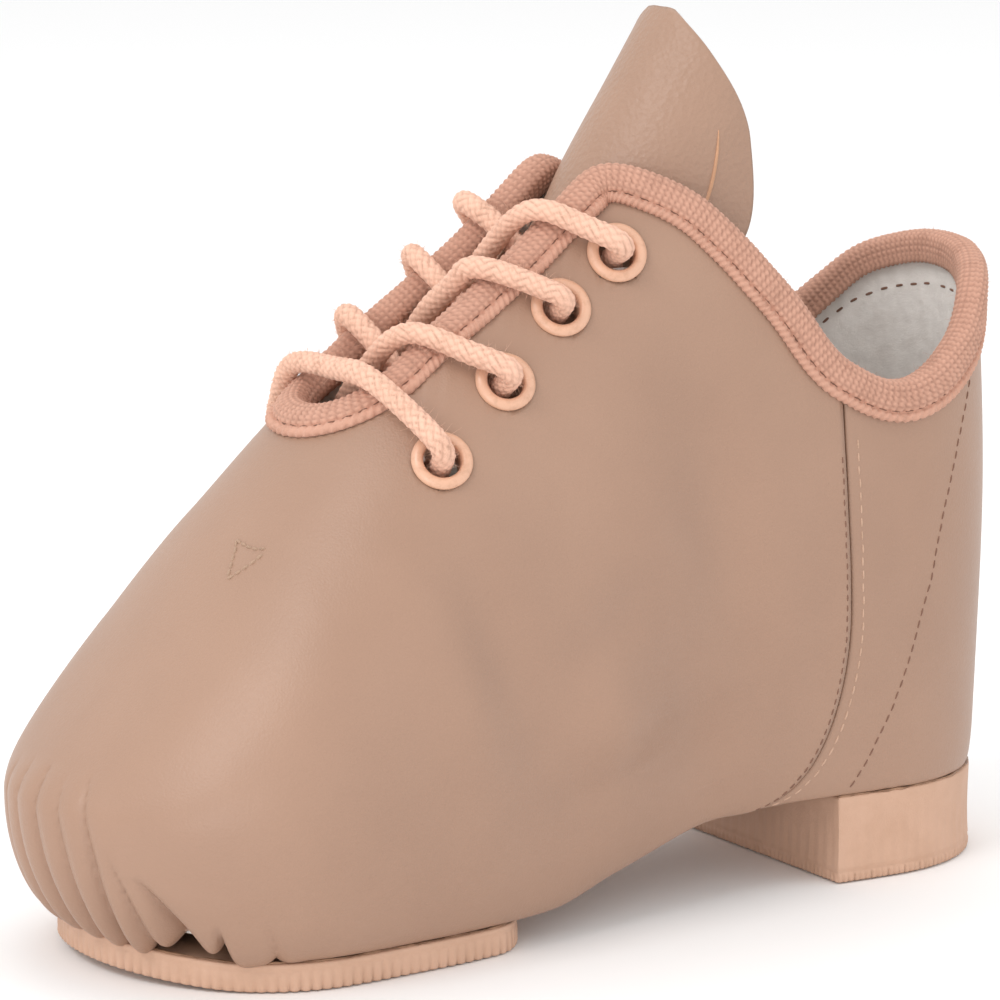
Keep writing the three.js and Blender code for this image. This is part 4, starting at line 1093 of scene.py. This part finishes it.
heel_profile = [
    (0.0, 0, 14.2, 0), (0.4, 0, 14.2, 0), (0.8, 0, 14.2, 0), (0.95, 0, 14.2, 0), (1, 0.35, 14.2, 0),
    (1, 0.1, 14.08, 0),
    (1, 0.0, 13.8, 0.3), (1, 0.02, 12.6, 1), (1, 0.1, 10.5, 1), (1, 0.16, 8.5, 1), (1, 0.18, 6.5, 1),
    (1, 0.14, 4.5, 1),
    (1, 0.05, 2.8, 1), (1, 0.0, 2.1, 1), (1, 0.16, 1.8, 0.5), (1, 0.03, 1.5, 1), (1, 0.0, 1.0, 1),
    (1, 0.02, 0.5, 1),
    (1, 0.12, 0.15, 1), (1, 0.5, 0.0, 0.6), (0.95, 0, 0.0, 0), (0.92, 0, 0.25, 0), (0.8, 0, 0.25, 0),
    (0.65, 0, 0.25, 0), (0.5, 0, 0.25, 0), (0.35, 0, 0.25, 0), (0.2, 0, 0.25, 0), (0.0, 0, 0.25, 0),
]
heel = sole_block(
    "heel_rubber", heel_outline, heel_run, np.array([-6.0, 0]), heel_profile, heel_flute, peach_rubber,
    ribbed=0.18,
)
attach(heel, "shoe")
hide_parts("heel_block")

board_t = np.r_[np.linspace(station_at(63), TOE_START, 60), np.linspace(TOE_START, 1, 90)[1:]]
board_points = []
for side, stations in ((1, board_t), (-1, board_t[:-1][::-1])):
    centre, turn = spine_at(stations)
    r = reach_of(side, stations) * smooth(feather_share, stations) - 6.5
    board_points.append(np.stack([centre + r * np.cos(turn), side * r * np.sin(turn)], 1))
board_outline, board_run = evenly(np.vstack(board_points), 0.8)
board_profile = [
    (0.0, 0, 7.4, 0), (0.5, 0, 7.4, 0), (0.95, 0, 7.4, 0), (1, 0.2, 7.4, 0), (1, 0, 7.2, 1), (1, 0, 6.2, 1),
    (1, 0.2, 5.95, 0), (0.95, 0, 5.9, 0), (0.5, 0, 5.9, 0), (0.0, 0, 5.9, 0),
]
forefoot_board = sole_block(
    "forefoot_board", board_outline, board_run, np.array([100.0, 0]), board_profile,
    lambda run, z: 0.05 * np.sin(run * 2.1) * np.sin(run * 0.73), board_fibre,
    lift=lambda x: bottom_at(x) - fore_seat,
)
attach(forefoot_board, "shoe")
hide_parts("insole_board_forefoot")

glue, glue_nodes, glue_links, glue_bsdf = shader("set_glue", (0.28, 0.15, 0.085), 0.45)
drops = texture(glue_nodes, glue_links, "ShaderNodeTexNoise", 350, Detail=4)
coloured(
    glue_nodes, glue_links, glue_bsdf, drops,
    [(0.3, (0.17, 0.08, 0.04)), (0.7, (0.40, 0.23, 0.14))],
)
bumped(glue_nodes, glue_links, glue_bsdf, [(drops.outputs["Fac"], 0.0002, 0.5)])


def glue_line(name, outline, inset, z_of, thick):
    """A thin bead of set glue that follows an outline unevenly."""
    line2, _ = evenly(outline, 0.8)
    middle = line2.mean(0)
    pull = (line2 - middle) / np.linalg.norm(line2 - middle, axis=1)[:, None]
    wave = 0.15 * np.sin(np.arange(len(line2)) * 0.37) + 0.1 * rng.normal(size=len(line2))
    line2 = line2 - pull * (inset + wave)[:, None]
    line = np.column_stack([line2, z_of(line2[:, 0])])
    turn = np.linspace(0, 2 * math.pi, 8, endpoint=False)
    size = thick * (0.75 + 0.35 * np.sin(np.arange(len(line)) * 0.61) + 0.15 * rng.normal(size=len(line)))
    size = np.clip(size, thick * 0.4, thick * 1.4)
    rings = (
        line[:, None, :]
        + np.column_stack([pull, np.zeros(len(line))])[:, None, :] * (size[:, None] * np.cos(turn))[..., None]
        + np.array([0, 0, 1.0]) * (size[:, None] * np.sin(turn) * 0.7)[..., None]
    )
    bead = object_of(name, rings.reshape(-1, 3), net(len(line), 8, loop=True), glue)
    faced_out(bead)
    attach(bead, "shoe")


glue_line("patch_glue", patch_outline, 0.75, lambda x: patch_lift(x) + 4.4, 0.32)
glue_line("heel_glue", heel_outline, 0.55, lambda x: 14.3 + 0 * x, 0.3)

# ---------------------------------------------------------------- tongue
# A shaped flap of softer pebbled leather, backed with fleece, sewn in at its root under the throat.
# It swings forward about that root, and a little glue has run down its outer edge.
tongue_crest = [(101, 0, 64.5), (85, 0, 78.5), (70, 0, 90.5), (56, 0, 103), (46.5, 0, 116.5), (31, 0, 140.5)]
arch_outer = [(0, 24), (0.3, 15.5), (0.5, 13), (0.62, 11.5), (0.75, 14.5), (1, 14.5)]
arch_inner = [(0, 19), (0.3, 13), (0.5, 11.5), (0.62, 10), (0.75, 12.5), (1, 12.5)]
tongue_half = [(0, 16), (0.4, 19), (0.6, 22), (0.75, 34), (0.88, 26), (0.96, 13), (1, 4)]
crest_line, crest_far = through(tongue_crest, 0.25)
crest_along = np.gradient(crest_line, axis=0)
crest_along /= np.linalg.norm(crest_along, axis=1)[:, None]


def tongue_point(share, across, deep):
    far = share * crest_far[-1]
    crest = np.stack([np.interp(far, crest_far, crest_line[:, k]) for k in range(3)], -1)
    run = np.stack([np.interp(far, crest_far, crest_along[:, k]) for k in range(3)], -1)
    inward = np.stack([run[..., 2], 0 * far, -run[..., 0]], -1) * np.where(run[..., 0] < 0, -1, 1)[..., None]
    radius = np.where(across > 0, smooth(arch_outer, share), smooth(arch_inner, share))
    width = across * smooth(tongue_half, share)
    turn = np.clip(width / radius, -QUARTER, QUARTER)
    leg = np.abs(width) - np.abs(turn) * radius
    lower = radius * (1 - np.cos(turn)) + leg + deep * np.cos(turn)
    sideways = 0.5 + (radius - deep) * np.sin(turn)
    return crest + inward * lower[..., None] + np.stack([0 * far, sideways, 0 * far], -1)


def tongue_layer(name, deep, thick, material, ripple):
    shares, acrosses = np.linspace(0, 1, 150)[:, None], np.linspace(-1, 1, 110)[None, :]
    shares, acrosses = np.broadcast_arrays(shares, acrosses)
    soft = ripple * np.sin(shares * 23 + acrosses * 2) * np.sin(acrosses * 5 + shares * 4)
    roll = 0.25 * (np.abs(acrosses) ** 12 + shares**30)
    outside = tongue_point(shares, acrosses, deep + soft + roll)
    inside = tongue_point(shares, acrosses, deep + thick + soft - roll * 0.6)
    rows, columns = shares.shape
    grid = net(rows, columns, tube=False)
    count = rows * columns
    rim = np.r_[
        np.arange(columns), np.arange(1, rows) * columns + columns - 1,
        (rows - 1) * columns + np.arange(columns - 2, -1, -1), np.arange(rows - 2, 0, -1) * columns,
    ]
    after = np.roll(rim, -1)
    edge = np.stack([rim, after, after + count, rim + count], 1)
    piece = object_of(
        name, np.vstack([outside.reshape(-1, 3), inside.reshape(-1, 3)]),
        np.vstack([grid, grid[:, ::-1] + count, edge]), material,
    )
    faced_out(piece)
    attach(piece, "tongue")
    return piece


pebbled_leather = leather("pebbled_leather", (0.335, 0.202, 0.139), (0.38, 0.232, 0.161), 2200, 0.00008, 1000)
tongue = tongue_layer("tongue_leather", 0, 1.0, pebbled_leather, 0.12)
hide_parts("tongue")
tongue_back = tongue_layer("tongue_fleece", 1.3, 0.7, fleece, 0.12)
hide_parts("tongue_lining")

run_share = np.linspace(0.70, 0.86, 50)
run_line = tongue_point(run_share, 0.72 + 0.01 * np.sin(run_share * 30), 0.1 + 0 * run_share)
_, run_side, run_up = carried(run_line)
run_turn = np.linspace(0, 2 * math.pi, 12, endpoint=False)
run_size = 0.35 * np.sin(np.linspace(0.05, 3.09, 50)) ** 0.5
glue_run_points = (
    run_line[:, None, :]
    + run_side[:, None, :] * (run_size[:, None] * np.cos(run_turn))[..., None]
    + run_up[:, None, :] * (run_size[:, None] * np.sin(run_turn))[..., None]
)
amber, amber_nodes, amber_links, amber_bsdf = shader("amber_glue", (0.62, 0.30, 0.12), 0.35)
amber_noise = texture(amber_nodes, amber_links, "ShaderNodeTexNoise", 700, Detail=4)
coloured(
    amber_nodes, amber_links, amber_bsdf, amber_noise,
    [(0.3, (0.46, 0.24, 0.13)), (0.7, (0.56, 0.30, 0.17))],
)
glue_run = faced_out(closed_tube("tongue_glue", glue_run_points, 12, amber))
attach(glue_run, "tongue")


# ---------------------------------------------------------------- stitching
# Polyester thread: dark along the side seams, the counter and the tack at the throat, and a light row
# behind each side seam. Each stitch is drawn a little into the leather.
def stitch_row(name, line, spacing, length, thickness, material, body="shoe"):
    """Small capsules laid along a line of points and outward directions."""
    points, outs = line
    far = np.r_[0, np.cumsum(np.linalg.norm(np.diff(points, axis=0), axis=1))]
    starts = np.arange(spacing / 2, far[-1] - spacing / 2, spacing)
    shares = np.array([0, 0.12, 0.5, 0.88, 1]) - 0.5
    swell = np.array([0.45, 0.9, 1, 0.9, 0.45])
    sink = np.array([-0.8, -0.25, 0.1, -0.25, -0.8])
    turn = np.linspace(0, 2 * math.pi, 6, endpoint=False)
    vertices, faces = [], []
    pattern = net(5, 6).tolist() + [list(range(6))[::-1], list(range(24, 30))]
    for k, start in enumerate(starts):
        place = np.array([np.interp(start + shares * length, far, points[:, i]) for i in range(3)]).T
        out = np.array([np.interp(start, far, outs[:, i]) for i in range(3)])
        out /= np.linalg.norm(out)
        run = place[-1] - place[0]
        run /= np.linalg.norm(run)
        cross = np.cross(run, out)
        slip = cross * rng.normal() * 0.05
        for j in range(5):
            middle = place[j] + out * (sink[j] * thickness * 0.5 + 0.02) + slip
            size = swell[j] * thickness / 2
            vertices.append(middle + size * (np.cos(turn)[:, None] * cross + np.sin(turn)[:, None] * out))
        faces += [[v + 30 * k for v in f] for f in pattern]
    row = object_of(name, np.concatenate(vertices), faces, material)
    faced_out(row)
    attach(row, body)


def on_upper(side, t, climb, vamp_side=True):
    p, n = skin(side, t, climb), normal(side, t, climb)
    move = seam_edge if vamp_side else quarter_relief
    return p + n * move(np.broadcast_to(float(side), t.shape), t, climb, p)[..., None], n


def thread(name, dark, light):
    return cotton(name, dark, light, 4000, 0.1)


dark_thread = thread("dark_thread", (0.13, 0.07, 0.05), (0.22, 0.12, 0.085))
light_thread = thread("light_thread", (0.36, 0.22, 0.15), (0.56, 0.37, 0.27))
for seam_side, seam_name in ((1, "outer"), (-1, "inner")):
    t_mid = np.array([seam_station])
    top = edge_climb(np.array([float(seam_side)]), t_mid, np.array([1.0]))[0]
    climb_run = np.linspace(0.12, top - 0.11, 240)
    vamp_row = on_upper(seam_side, seam_station + bow(climb_run) + 0.9 * MM_TO_STATION, climb_run)
    stitch_row("seam_thread_front_" + seam_name, vamp_row, 1.7, 1.2, 0.34, dark_thread)
    quarter_row = on_upper(seam_side, seam_station + bow(climb_run) - 2.4 * MM_TO_STATION, climb_run, False)
    stitch_row("seam_thread_rear_" + seam_name, quarter_row, 2.1, 1.6, 0.36, light_thread)


def nearest(side, targets):
    """The stations and climbs of points on the leather that lie nearest to some places."""
    ts, cs = np.meshgrid(np.linspace(0, 1, 700), np.linspace(0.02, math.pi, 420), indexing="ij")
    cloud = skin(side, ts, cs).reshape(-1, 3)
    flat = cloud[:, [0, 2]] if len(targets[0]) == 2 else cloud
    found = [np.argmin(np.sum((flat - np.array(place)) ** 2, 1)) for place in targets]
    return ts.ravel()[found], cs.ravel()[found]


counter_rise = np.linspace(82, 15.0, 90)
counter_curve = np.polyfit([80, 69, 56, 42, 28, 17], [-14.5, -10.2, -6.3, -2.2, 3.4, 9.5], 3)
counter_x = np.polyval(counter_curve, counter_rise)
for counter_side, counter_name in ((1, "outer"), (-1, "inner")):
    counter_t, counter_c = nearest(counter_side, list(zip(counter_x, counter_rise)))
    t_run, c_run = counter_t.astype(float), counter_c.astype(float)
    for _ in range(60):
        t_run[1:-1] = t_run[1:-1] * 0.5 + (t_run[:-2] + t_run[2:]) * 0.25
        c_run[1:-1] = c_run[1:-1] * 0.5 + (c_run[:-2] + c_run[2:]) * 0.25
    counter_line = on_upper(counter_side, t_run, c_run, False)
    stitch_row("counter_thread_" + counter_name, counter_line, 2.0, 1.45, 0.3, dark_thread)
back_climb = np.linspace(0.15, edge_climb(np.array([1.0]), np.array([0.0]), np.array([0.0]))[0] - 0.1, 160)
for offset, back_name in ((1.9, "outer"), (-0.7, "inner")):
    back_t = np.full(160, heel_station(abs(offset)))
    back_side = 1 if offset > 0 else -1
    back_line = on_upper(back_side, back_t, back_climb, False)
    stitch_row("back_thread_" + back_name, back_line, 1.9, 1.4, 0.28, dark_thread)
tack_thread = thread("tack_thread", (0.22, 0.14, 0.10), (0.42, 0.28, 0.20))
tack_t, tack_c = nearest(1, [(111.7, 7.5, 64.2), (110.2, 14.7, 63.6), (115.5, 11.1, 59)])
for k, (i, j) in enumerate(((0, 2), (2, 1), (0, 1))):
    leg = np.linspace(0, 1, 30)
    t_leg = tack_t[i] + (tack_t[j] - tack_t[i]) * leg
    c_leg = tack_c[i] + (tack_c[j] - tack_c[i]) * leg
    stitch_row(f"throat_tack_{k}", on_upper(1, t_leg, c_leg), 1.35, 1.25, 0.55, tack_thread)
for inside_side, inside_name in ((1, "outer"), (-1, "inner")):
    inside_t = np.linspace(0.004, 0.3, 260)
    inside_climb = edge_climb(np.full(260, float(inside_side)), inside_t, lean(inside_t))
    away = np.linalg.norm(slopes(inside_side, inside_t, inside_climb)[1], axis=1)
    inside_climb = inside_climb - 7.5 / away
    inside_t = inside_t + lean(inside_t) * bow(inside_climb)
    p, n = skin(inside_side, inside_t, inside_climb), normal(inside_side, inside_t, inside_climb)
    sunk = lining_depth(inside_t, inside_climb) + LINING - nap(inside_side, inside_t, inside_climb, p)
    stitch_row("lining_thread_" + inside_name, (p - n * sunk[:, None], -n), 3.0, 1.5, 0.45, dark_thread)
binding_row = int(np.argmin(np.abs(around - (profile_far[5] + profile_far[6]) / 2)))
groove_line = np.vstack([binding_points[:, binding_row], binding_points[:1, binding_row]])
stitch_row(
    "binding_thread", (groove_line, np.vstack([ring_n, ring_n[:1]])), 2.6, 1.7, 0.3, dark_thread
)
